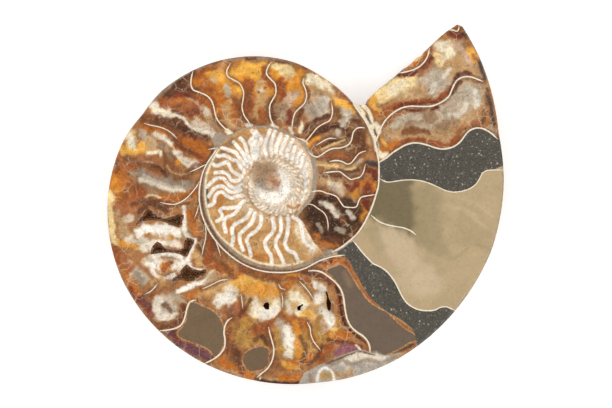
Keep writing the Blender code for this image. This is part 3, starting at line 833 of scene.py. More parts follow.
# %% Clouds in the crowded chambers at the right of the coil
RIGHT_CLOUDS = (
    ("clay", 1, 20, 345,110, 352,125, 340,140, 335,155, 345,170),
    ("brown", 0.8, 12, 340,128, 360,140, 350,160), ("gold", 1, 7, 335,101, 345,105, 352,108),
    ("mist", 0.8, 3, 342,108), ("rust", 0.9, 4, 342,96, 350,101, 354,106),
    ("brown", 0.8, 5, 336,112, 340,118), ("mist", 1, 5, 346,112, 348,120, 341,126, 338,134),
    ("milk", 0.6, 2.5, 346,114, 347,121), ("umber", 1, 5, 310,138, 318,131, 328,127, 336,127),
    ("amber", 1, 3, 307,146, 312,140, 320,138), ("umber", 1, 3.5, 322,147, 332,143, 342,143),
    ("umber", 0.9, 3.5, 352,121, 360,123, 358,133, 356,142), ("tan", 0.9, 4, 364,118, 369,130, 371,142),
    ("umber", 0.8, 3, 362,134, 364,146), ("honey", 0.9, 3, 322,151, 334,146, 345,142),
    ("copper", 0.8, 2.5, 322,157, 334,154, 344,152), ("honey", 1, 4, 318,163, 330,166, 342,167, 352,167),
    ("copper", 0.8, 2.5, 328,158, 340,157, 348,158), ("umber", 0.8, 3, 356,148, 362,149),
    ("milk", 0.6, 3, 356,165, 361,160), ("umber", 0.9, 2.5, 322,176, 334,175, 341,177),
    ("soot", 0.9, 3.5, 366,163, 372,163, 377,165), ("maroon", 1, 5, 368,170, 374,174, 376,182),
    ("orange", 1, 6, 362,184, 370,184, 376,190), ("gold", 0.7, 2.5, 376,182, 376,190),
    ("tan", 1, 7, 322,182, 334,184, 342,190), ("mist", 0.7, 5, 330,186, 340,192),
    ("maroon", 0.9, 4, 345,184, 352,190, 357,184), ("amber", 0.8, 4, 350,198, 358,192),
    ("mist", 0.8, 5, 346,200, 352,202), ("dark", 1, 24, 318,214, 330,228, 345,222, 350,236),
    ("dark", 1, 6, 314,202, 320,199, 332,200), ("mist", 1, 5, 322,203, 330,207, 336,213),
    ("milk", 0.9, 3, 324,204, 331,208, 337,216), ("brown", 0.9, 6, 342,218, 346,228, 340,236),
    ("milk", 0.8, 4, 350,213, 353,219), ("mist", 0.7, 3, 346,228, 349,234),
    ("amber", 0.9, 5, 364,205, 358,216, 362,198), ("maroon", 1, 6, 364,200, 366,206),
    ("orange", 0.8, 4, 356,226, 350,234, 342,240), ("amber", 0.8, 3, 366,212, 360,222, 353,231),
    ("orange", 0.8, 5, 316,236, 326,243, 334,244), ("mist", 0.7, 3, 318,224, 322,232),
    ("dark", 0.9, 9, 343,203, 356,212, 352,226, 338,238), ("umber", 0.8, 6, 324,238, 338,240),
    ("maroon", 0.8, 5, 368,186, 366,196), ("milk", 0.9, 3, 348,212, 354,218),
    ("milk", 0.7, 2.5, 324,203, 333,207), ("mist", 0.8, 3, 336,228, 344,232),
    ("dark", 0.7, 3, 322,131, 332,127, 346,130), ("dark", 0.7, 2.5, 330,142, 344,141, 349,134),
    ("umber", 0.8, 3, 340,168, 350,172, 358,170), ("straw", 0.7, 1.6, 318,165, 332,166, 346,169, 356,168),
    ("straw", 0.7, 1.5, 322,149, 334,144, 345,140), ("milk", 0.6, 4, 330,182, 338,186),
)
lay_all(RIGHT_CLOUDS, 1.0, in_calcite)

# %% [markdown]
# The long chambers below the coil change from honey to copper towards their walls, with milky cores. The
# darkest line of the whole face runs beside the main septum.

# %% Clouds in the chambers below the coil
LOWER_CLOUDS = (
    ("honey", 1, 26, 225,285, 250,290, 280,300, 310,300), ("ochre", 0.8, 20, 240,330, 290,345, 330,330),
    ("copper", 0.7, 9, 250,326, 268,322, 284,318, 300,324), ("brown", 0.6, 8, 232,345, 238,360, 280,364),
    ("orange", 0.9, 8, 216,266, 228,270, 238,276), ("copper", 0.8, 5, 212,262, 220,274),
    ("umber", 0.6, 3, 240,268, 252,276, 264,280), ("copper", 0.9, 5, 244,270, 262,277, 280,278),
    ("brown", 0.7, 4, 214,258, 224,268, 236,280), ("umber", 0.5, 3, 222,262, 232,272),
    ("gold", 0.9, 7, 232,284, 246,282, 262,282), ("amber", 0.8, 8, 244,290, 262,290, 276,292),
    ("milk", 1, 9, 220,300, 228,296, 234,302), ("chalk", 0.7, 5, 218,300, 228,299),
    ("cream", 0.7, 4, 226,288, 238,291), ("honey", 0.8, 5, 200,294, 212,292),
    ("rust", 1, 7, 236,306, 240,315, 232,318), ("plum", 0.5, 3, 232,306, 228,314),
    ("copper", 0.8, 3, 238,298, 244,312, 248,318), ("cream", 1, 8, 256,312, 268,312, 276,306),
    ("milk", 0.9, 6, 266,316, 274,312), ("honey", 0.8, 4, 264,300, 258,306),
    ("orange", 0.8, 6, 284,288, 292,282), ("copper", 0.8, 4, 288,276, 300,278, 312,284, 320,296),
    ("cream", 1, 7, 292,296, 302,302, 300,312), ("milk", 0.8, 5, 290,310, 286,302),
    ("honey", 0.8, 5, 308,290, 314,298), ("milk", 1, 6, 316,284, 322,290, 318,300),
    ("milk", 1, 7, 322,310, 330,318, 332,330), ("chalk", 0.6, 4, 326,316, 331,324),
    ("pinkish", 0.8, 4, 322,322, 324,330), ("gold", 0.9, 5, 306,312, 312,316),
    ("orange", 0.9, 4, 304,322, 310,332, 316,344), ("ochre", 0.8, 8, 252,322, 236,328, 244,342),
    ("copper", 0.9, 5, 256,332, 264,328, 270,338), ("umber", 0.7, 4, 254,340, 262,336, 271,345),
    ("umber", 0.7, 4, 236,352, 240,366, 252,374), ("copper", 1, 3, 226,352, 228,340, 230,328),
    ("umber", 0.8, 1.6, 227,354, 228,343, 227,332), ("orange", 1, 6, 222,362, 234,368, 250,375),
    ("tan", 0.8, 2, 218,366, 228,371, 242,376), ("milk", 1, 8, 286,330, 290,342, 288,354),
    ("mist", 0.8, 6, 280,322, 284,338), ("amber", 0.8, 5, 296,324, 298,340, 300,356),
    ("orange", 0.9, 6, 290,366, 300,362, 312,356), ("gold", 0.7, 4, 284,364, 296,368),
    ("copper", 0.9, 5, 322,352, 330,346, 320,360), ("maroon", 0.8, 3, 328,340, 340,342, 352,344, 361,347),
    ("mauve", 1, 6, 336,353, 345,349, 353,350), ("chalk", 0.9, 1.5, 356,345, 360,350),
    ("orange", 0.9, 6, 330,334, 342,335, 350,334), ("gold", 0.7, 4, 334,330, 332,336),
    ("copper", 0.9, 4, 337,286, 339,296, 340,308, 342,318, 347,327),
    ("dark", 1, 2, 336.5,288, 340,298, 341.5,308, 343,318, 348,327.5, 355,334, 362,339, 366,344),
    ("umber", 0.9, 3, 300,272, 312,274, 322,277, 330,283), ("amber", 0.8, 3, 286,276, 298,274),
    ("orange", 1, 4, 324,266, 334,261, 342,262, 348,270), ("maroon", 0.9, 3, 312,264, 322,262, 330,262),
    ("chalk", 0.9, 2, 338,264, 332,268), ("rust", 0.9, 2.6, 347,262, 353,270, 359,279, 365,288, 370,296),
    ("maroon", 0.9, 1.2, 345,262, 350,267), ("rust", 1, 3, 391,315.5, 399,320, 408,325, 413,330),
    ("tan", 1, 2, 394,316, 402,321, 410,326),
    ("rust", 0.9, 2.2, 345,300, 347,312, 349,320, 354,328, 361,333),
    ("tan", 1, 2.5, 331,272, 338,279, 343,287, 346,297), ("soot", 0.9, 3, 393,354, 402,348.5, 413,343.5),
    ("slate", 0.8, 2, 396,350, 406,345), ("plum", 1, 7, 172,334, 182,344, 196,351, 208,357),
    ("maroon", 0.6, 4, 172,331, 180,341), ("plum", 1, 3, 181,328, 186,318, 188,308),
    ("orange", 1, 6, 282,378, 295,379, 305,378),
    ("dark", 1, 2.5, 255,379.5, 272,382.5, 290,383.5, 305,382.5), ("milk", 1, 8, 219,301, 228,296, 231,291),
    ("chalk", 0.8, 5, 221,300, 228,297), ("chalk", 0.7, 6, 287,328, 290,342),
    ("milk", 0.9, 6, 256,300, 262,314, 274,312), ("chalk", 0.7, 4, 262,312, 272,314),
    ("umber", 0.7, 3, 240,316, 246,308, 250,300), ("umber", 0.6, 5, 233,345, 236,356, 242,372),
    ("brown", 0.6, 5, 228,310, 236,322, 234,334), ("umber", 0.7, 3.5, 300,336, 306,350, 302,362),
    ("dark", 0.6, 3, 262,336, 266,344), ("umber", 0.8, 3, 322,346, 318,356, 308,364),
    ("brown", 0.8, 4, 246,272, 262,279, 278,281), ("gold", 0.8, 4, 302,315, 308,312),
    ("cream", 0.9, 2, 258,373, 260,379), ("tan", 0.8, 2, 266,377, 278,380),
    ("plum", 1, 2, 269.5,350, 269,356, 270,361),
)
lay_all(LOWER_CLOUDS, 1.0, in_calcite)

# %% [markdown]
# The last whorl ends in the broken tip. Its wide chambers are mostly pale tan and mist grey, with thin copper
# bands under the septa.

# %% Clouds in the last whorl
LAST_CLOUDS = (
    ("tan", 1, 26, 400,90, 430,85, 455,60, 470,100, 430,125, 400,125),
    ("mist", 0.8, 20, 432,80, 448,92, 468,96, 420,118), ("straw", 1, 14, 382,92, 394,86, 410,82),
    ("cream", 0.8, 9, 392,90, 402,85), ("gold", 0.9, 6, 374,98, 372,108, 380,112),
    ("orange", 1, 4, 371,112, 380,115, 388,113),
    ("copper", 1, 4, 384,112, 394,107, 404,103, 420,101.5, 436,100, 444,96, 449,88),
    ("maroon", 0.9, 2.2, 394,108, 404,104, 420,103, 434,102.5), ("mist", 0.9, 8, 430,72, 436,86, 442,80),
    ("milk", 0.9, 5, 434,84, 430,92), ("milk", 0.8, 4, 444,76, 450,70), ("tan", 0.9, 6, 412,92, 424,90),
    ("honey", 0.8, 8, 452,60, 462,62, 470,70), ("cream", 1, 9, 440,46, 450,48, 446,56),
    ("straw", 0.8, 5, 436,56, 440,64), ("pinkish", 1, 7, 458,46, 466,54, 470,62),
    ("gold", 0.9, 5, 470,50, 476,60), ("rust", 0.8, 3, 473,56, 479,62),
    ("maroon", 1, 3.5, 398,74.5, 408,74, 418,71, 425,66, 431,58), ("rust", 0.7, 6, 420,74, 430,66),
    ("orange", 0.9, 3, 410,65, 418,61, 424,54), ("straw", 0.8, 3, 414,60, 421,56),
    ("orange", 1, 3, 453,28, 457,27), ("maroon", 0.9, 4, 450,34, 457,35, 463,35),
    ("soot", 0.6, 2.5, 463,33, 466,38), ("soot", 0.8, 3, 479,62, 482,70, 485,78),
    ("soot", 0.8, 2.5, 489,95, 491,108, 494,124), ("umber", 1, 3.5, 449,92, 453,84, 457,78, 462,74, 470,73),
    ("umber", 0.9, 3, 453,92, 457,85, 462,81), ("maroon", 1, 2.5, 404,109.5, 416,110, 430,109.5, 438,107),
    ("copper", 0.8, 3, 388,122, 396,115, 404,112), ("clay", 1, 9, 396,124, 412,118, 430,116),
    ("mist", 0.9, 5, 392,126, 404,118, 420,117), ("milk", 0.8, 4, 450,116, 462,112, 470,90),
    ("milk", 1, 6, 474,92, 476,104), ("mist", 0.8, 6, 468,86, 470,98),
    ("brown", 0.9, 5, 404,132, 416,130, 428,132), ("clay", 0.9, 6, 440,128, 452,120),
    ("tan", 1, 7, 430,138, 442,140, 450,136), ("copper", 1, 3, 392,147, 400,143, 412,139, 424,139.5),
    ("orange", 1, 4, 382,150, 386,155, 394,149), ("gold", 0.7, 2.5, 382,140, 386,148),
    ("copper", 1, 4, 430,142, 442,145, 452,142, 458,137),
    ("rust", 1, 3.5, 458,133, 463,128, 470,124, 480,124), ("umber", 0.7, 3, 484,112, 482,122),
    ("umber", 0.6, 3, 487,90, 488,104), ("mist", 0.7, 4, 490,128, 494,134),
    ("cream", 1, 4, 371,128, 376,126, 379,133), ("cream", 1, 3.5, 380,152, 381,157, 386,154),
    ("soot", 0.8, 1.6, 366,116, 369.5,122), ("soot", 0.8, 1.3, 374,130, 375.5,134),
    ("soot", 0.8, 1.2, 376.7,142, 377,146),
)
lay_all(LAST_CLOUDS, 1.0, in_calcite)

# %% [markdown]
# ## Edges that took up iron
# Iron gathered along every septum and round the mud, so there the calcite is a shade darker. The marks of
# those lines are known already, so loops lay these fringes.

# %% Fringes along the septa and round the mud
FRINGE_SHARE, FRINGE_REACH, FRINGE_BEND = 0.5, 4.2, 0.8
RIMMED = ("mud_pocket_1", "mud_pocket_2", "brown_mud")
RIMS = (("copper", 0.6, 4.0, 0.4), ("honey", 0.9, 2.2, 0.2))
fringed = [marks for name, (_, marks) in SEPTA.items() if not name.startswith("mud_edge")]
lay_all([("umber", FRINGE_SHARE, FRINGE_REACH, *marks) for marks in fringed], FRINGE_BEND, in_calcite)
for name in RIMMED:
    for pigment, strength, reach, bend in RIMS:
        lay((pigment, strength, reach, *patches[name].ravel()), bend, in_calcite)

# %% [markdown]
# Where a septum meets the outer wall, the shell is thick and leaves a small white wedge. These strokes are
# bent less than the clouds, since they are shell and not growth.

# %% White wedges where the septa meet the wall
FIRM_BEND = 0.3
WEDGES = (
    ("cream", 1, 3.2, 355,104, 362,112, 367,120, 371,129, 375,139, 377,150),
    ("cream", 1, 3.5, 372,127, 376,125, 379,132), ("cream", 1, 3.5, 380,153, 381,157, 387,154),
    ("cream", 1, 2.6, 363,106, 369,112, 372,121), ("cream", 1, 3.5, 227,131, 232,135),
    ("chalk", 0.9, 2.5, 247,125, 252,126), ("chalk", 0.9, 2.5, 272,125, 277,128),
    ("cream", 0.9, 2.5, 290,128, 292,133), ("cream", 0.8, 2, 303,140, 307,143),
    ("soot", 0.9, 1.5, 366,115.5, 370,123), ("soot", 0.9, 1.3, 374.3,130, 376,135),
    ("soot", 0.8, 1.2, 376.4,142, 377,147), ("orange", 1, 4, 384,148, 390,146, 397,143),
    ("gold", 0.8, 2.5, 383,141, 386,146),
    ("dark", 0.8, 1.5, 335.5,287, 339,296, 340.5,306, 342,316, 346,326, 353,333, 360,338),
)
lay_all(WEDGES, FIRM_BEND, in_calcite)

# %% [markdown]
# The large field of plain mud goes from olive at the coil to pale sand, and the lumps at the bottom are tan
# and chalk. The same strokes serve, kept to the mud this time.

# %% The shades of the mud
MUD_CLOUDS = (
    ("olive", 1, 26, 384,190, 396,200, 400,216), ("olive", 1, 14, 405,186, 408,205, 408,226),
    ("khaki", 0.9, 16, 428,196, 430,220, 432,240), ("olive", 1, 14, 381,184, 380,200, 376,212),
    ("olive", 0.9, 12, 392,218, 402,222, 410,228), ("khaki", 0.8, 10, 418,232, 430,244, 444,250),
    ("khaki", 0.7, 9, 418,188, 419,205, 419,228), ("sand", 0.6, 14, 470,215, 480,235, 460,240),
    ("pale_sand", 0.9, 18, 388,238, 402,250, 412,266, 430,285),
    ("pale_sand", 0.5, 3, 448,205, 468,212, 486,228), ("sand", 0.6, 2.5, 440,214, 458,226, 470,240),
    ("pale_sand", 0.4, 2.5, 456,196, 476,204, 492,216), ("khaki", 0.5, 10, 372,232, 380,246),
    ("pale_sand", 0.5, 12, 400,280, 420,290), ("clay", 0.5, 4, 344,274, 350,284),
    ("pinkish", 0.4, 5, 388,250, 396,262),
    ("khaki", 0.6, 1.6, 416,235, 421,240, 425,245, 430,250, 436,254, 441,256.5, 450,257.5, 458,256.5,
     463,253),
    ("khaki", 0.5, 1.6, 463,253, 470,247, 477,245, 484,247, 490,250),
)
MATRIX_CLOUDS = (
    ("tan", 0.9, 6, 334,374, 342,376, 350,371), ("ochre", 0.7, 4, 322,376, 328,376),
    ("milk", 0.8, 7, 345,362, 360,358, 378,358),
    ("chalk", 0.9, 1.8, 317,383, 318.5,374, 322,369.5, 328,368.5, 332,372, 333.5,379, 333,384),
    ("clay", 0.7, 4, 310,376, 314,382), ("slate", 0.8, 3, 330,365, 342,360, 352,364, 366,360, 380,362),
    ("milk", 0.8, 2.5, 352,354, 364,354, 376,357, 388,358), ("slate", 0.7, 3, 388,360, 396,357),
    ("tan", 0.8, 3, 396,358, 404,354), ("umber", 0.8, 1.5, 326,364, 345,356, 360,352, 374,355),
)
lay_all(MUD_CLOUDS + MATRIX_CLOUDS, 1.0, in_mud)

# %% [markdown]
# ## The crowded inner whorls
# Inside the seam lie the youngest whorls. Their chambers are a few pixels wide, so the whole coil gets one
# tone, the whorl that stayed white is painted over it, and the shades follow.

# %% The tone of the coil, and its shades
COIL_TONE = (190, 142, 86)
COIL_OUTLINE = (
    218,147, 210,158, 205,170, 203,182, 202.5,195, 203.5,208, 207,219, 212,228, 218,237, 226,246, 236,255,
    247,262, 260,266, 275,268.5, 290,268, 303,265, 315,260, 324,256, 320,249, 312,240, 307,230, 302,221,
    296,214, 300,209, 304,203, 308,198, 311,192, 312,185, 313,175, 312,165, 309,155, 304,147, 298,140,
    290,136.5, 282,132, 272,129, 262,128, 250,128.5, 240,131, 228,138,
)
WHITE_WHORL = (
    252,170, 248,177, 247,186, 248,194, 251,202, 256,208, 263,213, 272,216, 282,217, 290,214, 297,208,
    303,200, 307,190, 308,178, 306,165, 301,155, 290,154, 276,156, 260,161,
)
INNER_CLOUDS = (
    ("chalk", 0.7, 18, 262,148, 285,148, 300,165), ("chalk", 0.8, 44, 266,188, 284,184),
    ("chalk", 0.7, 10, 306,236, 312,248, 302,228),
    ("honey", 0.6, 11, 243,150, 226,160, 213,178, 211,200, 217,222, 230,240, 248,254, 268,260, 288,258,
     302,248),
    ("orange", 0.5, 6, 226,176, 219,203, 228,224, 242,246, 262,258, 280,254),
    ("clay", 0.8, 5, 232,140, 224,150, 214,164), ("honey", 0.7, 4, 276,226, 282,244, 300,236),
    ("slate", 0.9, 2.5, 207,184, 206.5,195, 207.5,205), ("soot", 0.8, 1.8, 207,186, 207,194, 208,201),
    ("cream", 0.8, 5, 306,238, 298,232, 312,248),
    ("tan", 0.9, 1.6, 252,170, 248,177, 247,186, 248,194, 251,202, 256,208, 263,213, 272,216, 282,217,
     290,214),
    ("slate", 1, 20, 264,175), ("clay", 0.7, 12, 262,172, 268,170), ("pinkish", 1, 13, 273,182),
    ("rust", 0.5, 4, 270,176, 277,184), ("chalk", 0.8, 2, 281,172, 283,180, 280,189),
    ("copper", 0.7, 2.5, 288,206, 294,208, 299,205), ("umber", 0.6, 1.6, 295,214, 297,211),
)
in_coil = inside(rows(COIL_OUTLINE), face_pixels)
paint[in_coil] = COIL_TONE
paint[inside(rows(WHITE_WHORL), face_pixels)] = PIGMENTS["chalk"]
lay_all(INNER_CLOUDS, FIRM_BEND, in_coil)

# %% [markdown]
# The septa of the third whorl were folded at the wall, so the cut shows them as zigzags. Each has a copper
# shadow on both sides. All the shadows are laid before any white line, or they would darken a neighbour.

# %% Zigzag septa of the third whorl
SHADOW, SHADOW_BEND = ("copper", 0.3, 4.2), 0.25
SHELL_LINE = ("chalk", 1, 2.9)
ZIGZAGS = (
    (288,216, 288,226, 287,235, 285,243, 288,250, 294,253, 298,260),
    (272,217, 274,225, 273,232, 268,237, 265,243, 267,250, 271,256, 272,265),
    (261,214, 261,222, 257,230, 250,235, 247,240, 249,247, 251,256),
    (251,209, 249,214, 243,220, 235,224, 232,229, 233,237, 232,245),
    (248,200, 243,202, 238,206, 231,208, 224,208, 220,210, 222,215, 221,219, 217,221),
    (244,195, 238,196, 232,198, 227,196, 222,192, 218,193, 215,197, 214,203, 208,206),
    (247,178, 243,184, 238,187, 232,187, 227,183, 224,179, 218,178, 213,181, 207,187),
    (243,177, 237,174, 232,171, 230,167, 227,162, 222,164, 216,166, 212,163),
    (250,168, 246,166, 242,161, 238,156, 235,152, 228,150, 222,148),
    (252,163, 249,158, 247,153, 246,147, 244,142, 240,138),
    (255,160, 252,154, 252,147, 250,141, 255,136, 252,131),
    (262,161, 259,158, 257,152, 258,146, 261,140, 258,133), (268,160, 266,155, 265,148, 266,140, 270,130),
    (278,160, 276,152, 277,144, 281,134), (288,162, 287,154, 290,146, 293,139), (296,166, 297,158, 301,151),
    (300,176, 304,170, 307,164), (298,190, 304,186, 308,181), (293,217, 300,222, 302,232, 305,242, 314,250),
    (280,217, 281,226, 280,234, 276,241, 277,249, 281,256, 284,264),
    (240,206, 234,214, 226,218, 224,224, 226,232), (255,212, 252,222, 245,229, 240,234, 240,242, 243,250),
    (246,187, 238,191, 231,192, 226,189, 221,186, 214,189, 209,196),
    (245,172, 239,180, 232,180, 228,175, 222,172, 215,173),
    (247,172, 242,169, 238,162, 233,160, 226,156, 218,156), (251,165, 246,160, 242,152, 238,147, 234,142),
    (258,160, 255,152, 254,146, 256,138, 256,131), (273,160, 271,152, 271,144, 275,131),
    (283,160, 281,152, 284,144, 287,136), (292,164, 292,156, 295,147), (300,169, 302,161, 304,155),
)
lay_all([(*SHADOW, *marks) for marks in ZIGZAGS], SHADOW_BEND, in_coil)
lay_all([(*SHELL_LINE, *marks) for marks in ZIGZAGS], FIRM_BEND, in_coil)

# %% [markdown]
# The grey seam that rings the coil is mud that crept in along the shell, with a pale edge inside it and a
# dark one outside.

# %% The ring round the coil
RING = (
    ("slate", 0.9, 3.6, 217,147, 210,158, 205,170, 203,182, 202.5,195, 203.5,208, 207,219, 212,228, 218,237,
     226,246),
    ("slate", 0.9, 3.6, 226,246, 236,255, 247,262, 260,266.5, 275,269, 290,268.5, 303,265.5, 315,260.5,
     325,256),
    ("umber", 0.8, 1.6, 213,150, 206,163, 202,180, 201.3,195, 203,209, 207,221, 216,237, 228,251, 244,263,
     262,269.5),
    ("umber", 0.7, 1.5, 262,269.5, 280,271, 300,269, 316,262.5),
    ("cream", 0.9, 1.6, 219,150, 212,161, 207.5,172, 205.5,184, 205.3,196, 207,209, 211,221, 217,232,
     226,242, 238,252),
    ("cream", 0.9, 1.6, 238,252, 250,259, 263,263.5, 277,265.5, 291,264.5, 303,261),
)
lay_all(RING, FIRM_BEND, everywhere)

# %% [markdown]
# The innermost whorls hold dozens of septa, a pixel or two apart. They are too many to mark one by one, and
# they are all alike, so a loop draws the fine tan gaps between them round the middle, in two rings.

# %% Fine gaps between the innermost septa
MIDDLE = np.array((273.0, 186.0))
GAP_COUNT = 34
GAP_PIECES = ((18.0, 24.0, 0.4), (25.0, 31.0, 0.55))
GAP_STOPS = (0, 0.35, 0.7, 1)
GAP_REACH, GAP_BEND, GAP_SWAY = 1.4, 0.5, 0.12
for index in range(GAP_COUNT):
    turn = math.tau * index / GAP_COUNT
    for start, end, strength in GAP_PIECES:
        marks = []
        for share in GAP_STOPS:
            reach = start + (end - start) * share
            bent = turn + GAP_SWAY * math.sin(share * math.tau)
            marks += [MIDDLE[0] + reach * math.cos(bent), MIDDLE[1] + reach * math.sin(bent)]
        lay(("tan", strength, GAP_REACH, *marks), GAP_BEND, in_coil)
print(GAP_COUNT * len(GAP_PIECES), "gaps laid")

# %% [markdown]
# ## Keeping the colour on the mesh
# The paint could be baked into a picture, but a colour attribute needs no picture and no unwrapping, and the
# mesh is fine enough to hold it. The pigments are screen colours, so they are turned into light first. The
# numbers in that formula belong to the curve of every screen.

# %% Store the paint as a colour attribute
def linear(colour):
    """A colour of the screen, 0 to 255, as the light it stands for."""
    share = np.asarray(colour, float) / 255
    return np.where(share <= 0.04045, share / 12.92, ((share + 0.055) / 1.055) ** 2.4)


colours = np.ones((len(vertex_places), 4))
colours[on_face, :3] = linear(paint)
colours[~on_face, :3] = linear(CALCITE_TONE)
layer = stone_mesh.color_attributes.new("pigment", "FLOAT_COLOR", "POINT")
layer.data.foreach_set("color", colours.astype(np.float32).ravel())
print("painted", len(face_pixels), "vertices")

# %% [markdown]
# ## Effects shared by the materials
# Marbling, grain, grit and cracks turn up in more than one of the stone's finishes. Each is a node group with
# named inputs and outputs, built once. A group only gives masks and values, and each material mixes them
# itself. The helpers below make a group, a node in it, and the sums and noise that all of them use.

# %% Helpers that build a shader group
NOISE_LOW, NOISE_HIGH = 0.3, 0.7
NUMBER = "NodeSocketFloat"


def new_group(name, inputs, outputs):
    """An empty shader group with number inputs, given with their first values, and number outputs."""
    group = bpy.data.node_groups.new(name, "ShaderNodeTree")
    for socket, value in inputs.items():
        made = group.interface.new_socket(socket, in_out="INPUT", socket_type=NUMBER)
        made.default_value = value
    for socket in outputs:
        group.interface.new_socket(socket, in_out="OUTPUT", socket_type=NUMBER)
    return group, group.nodes.new("NodeGroupInput").outputs, group.nodes.new("NodeGroupOutput").inputs


def node(tree, kind, links=None, **values):
    """Adds a node, sets its properties, and links or sets its inputs by name or number."""
    made = tree.nodes.new(kind)
    for name, value in values.items():
        setattr(made, name, value)
    for socket, source in (links or {}).items():
        if isinstance(source, bpy.types.NodeSocket):
            tree.links.new(source, made.inputs[socket])
        else:
            made.inputs[socket].default_value = source
    return made


def arithmetic(tree, operation, first, second):
    """The sum, difference or product of two values."""
    return node(tree, "ShaderNodeMath", {0: first, 1: second}, operation=operation).outputs[0]


def spread(tree, value, low, high, to_low, to_high):
    """The value moved from one range to another, and held inside it."""
    links = {"Value": value, "From Min": low, "From Max": high, "To Min": to_low, "To Max": to_high}
    return node(tree, "ShaderNodeMapRange", links).outputs["Result"]


def on_stone(tree):
    """The place on the stone itself, in metres."""
    return node(tree, "ShaderNodeTexCoord").outputs["Object"]


def stone_noise(tree, scale, detail, rough, bend=0.0):
    """Soft noise fixed to the stone."""
    place = on_stone(tree)
    links = {"Vector": place, "Scale": scale, "Detail": detail, "Roughness": rough, "Distortion": bend}
    return node(tree, "ShaderNodeTexNoise", links).outputs["Fac"]


def around_one(tree, value, contrast):
    """Noise as a shade from one less the contrast to one more, to multiply a colour by."""
    low = arithmetic(tree, "SUBTRACT", 1.0, contrast)
    high = arithmetic(tree, "ADD", 1.0, contrast)
    return spread(tree, value, NOISE_LOW, NOISE_HIGH, low, high)


print("noise is spread from", NOISE_LOW, "to", NOISE_HIGH)

# %% [markdown]
# Marbling is slow growth: broad soft clouds, with thin streaks where the growth stopped for a while. Grain is
# the fine crystal of the calcite, or the clay of the mud, and its height also gives the surface its bump.

# %% Marbling and grain
STREAKS_FINER = 2.3


def marbling_group():
    """Broad shades, and streaks of a finer and more bent noise."""
    group, given, out = new_group("growth marbling", {"Scale": 500.0, "Contrast": 0.4}, ["Shade", "Streak"])
    cloud = stone_noise(group, given["Scale"], detail=5.0, rough=0.62, bend=1.2)
    group.links.new(around_one(group, cloud, given["Contrast"]), out["Shade"])
    finer = arithmetic(group, "MULTIPLY", given["Scale"], STREAKS_FINER)
    streak = stone_noise(group, finer, detail=3.0, rough=0.5, bend=2.5)
    group.links.new(spread(group, streak, low=0.58, high=0.72, to_low=0.0, to_high=1.0), out["Streak"])
    return group


def grain_group():
    """Fine shades, and the height of the same grains."""
    group, given, out = new_group("fine grain", {"Scale": 2500.0, "Contrast": 0.15}, ["Shade", "Height"])
    grain = stone_noise(group, given["Scale"], detail=3.0, rough=0.7)
    group.links.new(around_one(group, grain, given["Contrast"]), out["Shade"])
    group.links.new(grain, out["Height"])
    return group


MARBLING, GRAIN = marbling_group(), grain_group()
print("groups:", MARBLING.name, "and", GRAIN.name)

# %% [markdown]
# Grit is bits of shell and sand in the mud. Its dots come from cells, one dot in the middle of each, and a
# slow noise makes them thick in one place and thin in another. Hairline cracks are the edges of larger cells,
# bent and kept to a few places.

# %% Grit and hairline cracks
GRIT_PATCHES, CRACK_PATCHES = 900.0, 140.0
DOT_CORE = 0.5
CRACK_BEND, CRACK_BEND_SCALE = (0.002, 0.002, 0.002), 500.0


def speck_group():
    """Dots whose size is a share of a cell, and varies over the stone."""
    group, given, out = new_group("grit", {"Scale": 1500.0, "Size": 0.25}, ["Specks"])
    cells = node(group, "ShaderNodeTexVoronoi", {"Vector": on_stone(group), "Scale": given["Scale"]})
    patchy = stone_noise(group, GRIT_PATCHES, detail=2.0, rough=0.5)
    thin = spread(group, patchy, low=0.4, high=0.65, to_low=0.2, to_high=1.3)
    size = arithmetic(group, "MULTIPLY", given["Size"], thin)
    edge = arithmetic(group, "MULTIPLY", size, DOT_CORE)
    dots = spread(group, cells.outputs["Distance"], low=size, high=edge, to_low=0.0, to_high=1.0)
    group.links.new(dots, out["Specks"])
    return group


def crack_group():
    """Thin bent lines along the edges of cells, in a few places only."""
    group, given, out = new_group("hairline cracks", {"Scale": 260.0, "Width": 0.03}, ["Line"])
    place = on_stone(group)
    bend = node(group, "ShaderNodeTexNoise", {"Vector": place, "Scale": CRACK_BEND_SCALE, "Detail": 2.0})
    links = {0: bend.outputs["Color"], 1: CRACK_BEND}
    shift = node(group, "ShaderNodeVectorMath", links, operation="MULTIPLY")
    bent = node(group, "ShaderNodeVectorMath", {0: place, 1: shift.outputs[0]}, operation="ADD")
    links = {"Vector": bent.outputs[0], "Scale": given["Scale"]}
    cells = node(group, "ShaderNodeTexVoronoi", links, feature="DISTANCE_TO_EDGE")
    line = spread(group, cells.outputs["Distance"], low=given["Width"], high=0.0, to_low=0.0, to_high=1.0)
    patchy = stone_noise(group, CRACK_PATCHES, detail=2.0, rough=0.5)
    where = spread(group, patchy, low=0.5, high=0.62, to_low=0.0, to_high=1.0)
    group.links.new(arithmetic(group, "MULTIPLY", line, where), out["Line"])
    return group


GRIT, CRACKS = speck_group(), crack_group()
print("groups:", GRIT.name, "and", CRACKS.name)

# %% [markdown]
# ## The finishes
# Every finish starts from the same recipe: a colour, times some marbling and grain, with the roughness varied
# by the same grain. Streaks, veins, cracks and specks are tones blended over it. The polished parts are
# smooth with a thin coat, as polished calcite is, and the back keeps the dull surface of the old shell.

# %% One recipe for every finish
BUMP_STRENGTH = 0.6
COAT_ROUGHNESS = 0.12


def use(tree, group, **values):
    """Places a group in a material with its own values."""
    made = node(tree, "ShaderNodeGroup", node_tree=group)
    for socket, value in values.items():
        made.inputs[socket].default_value = value
    return made.outputs


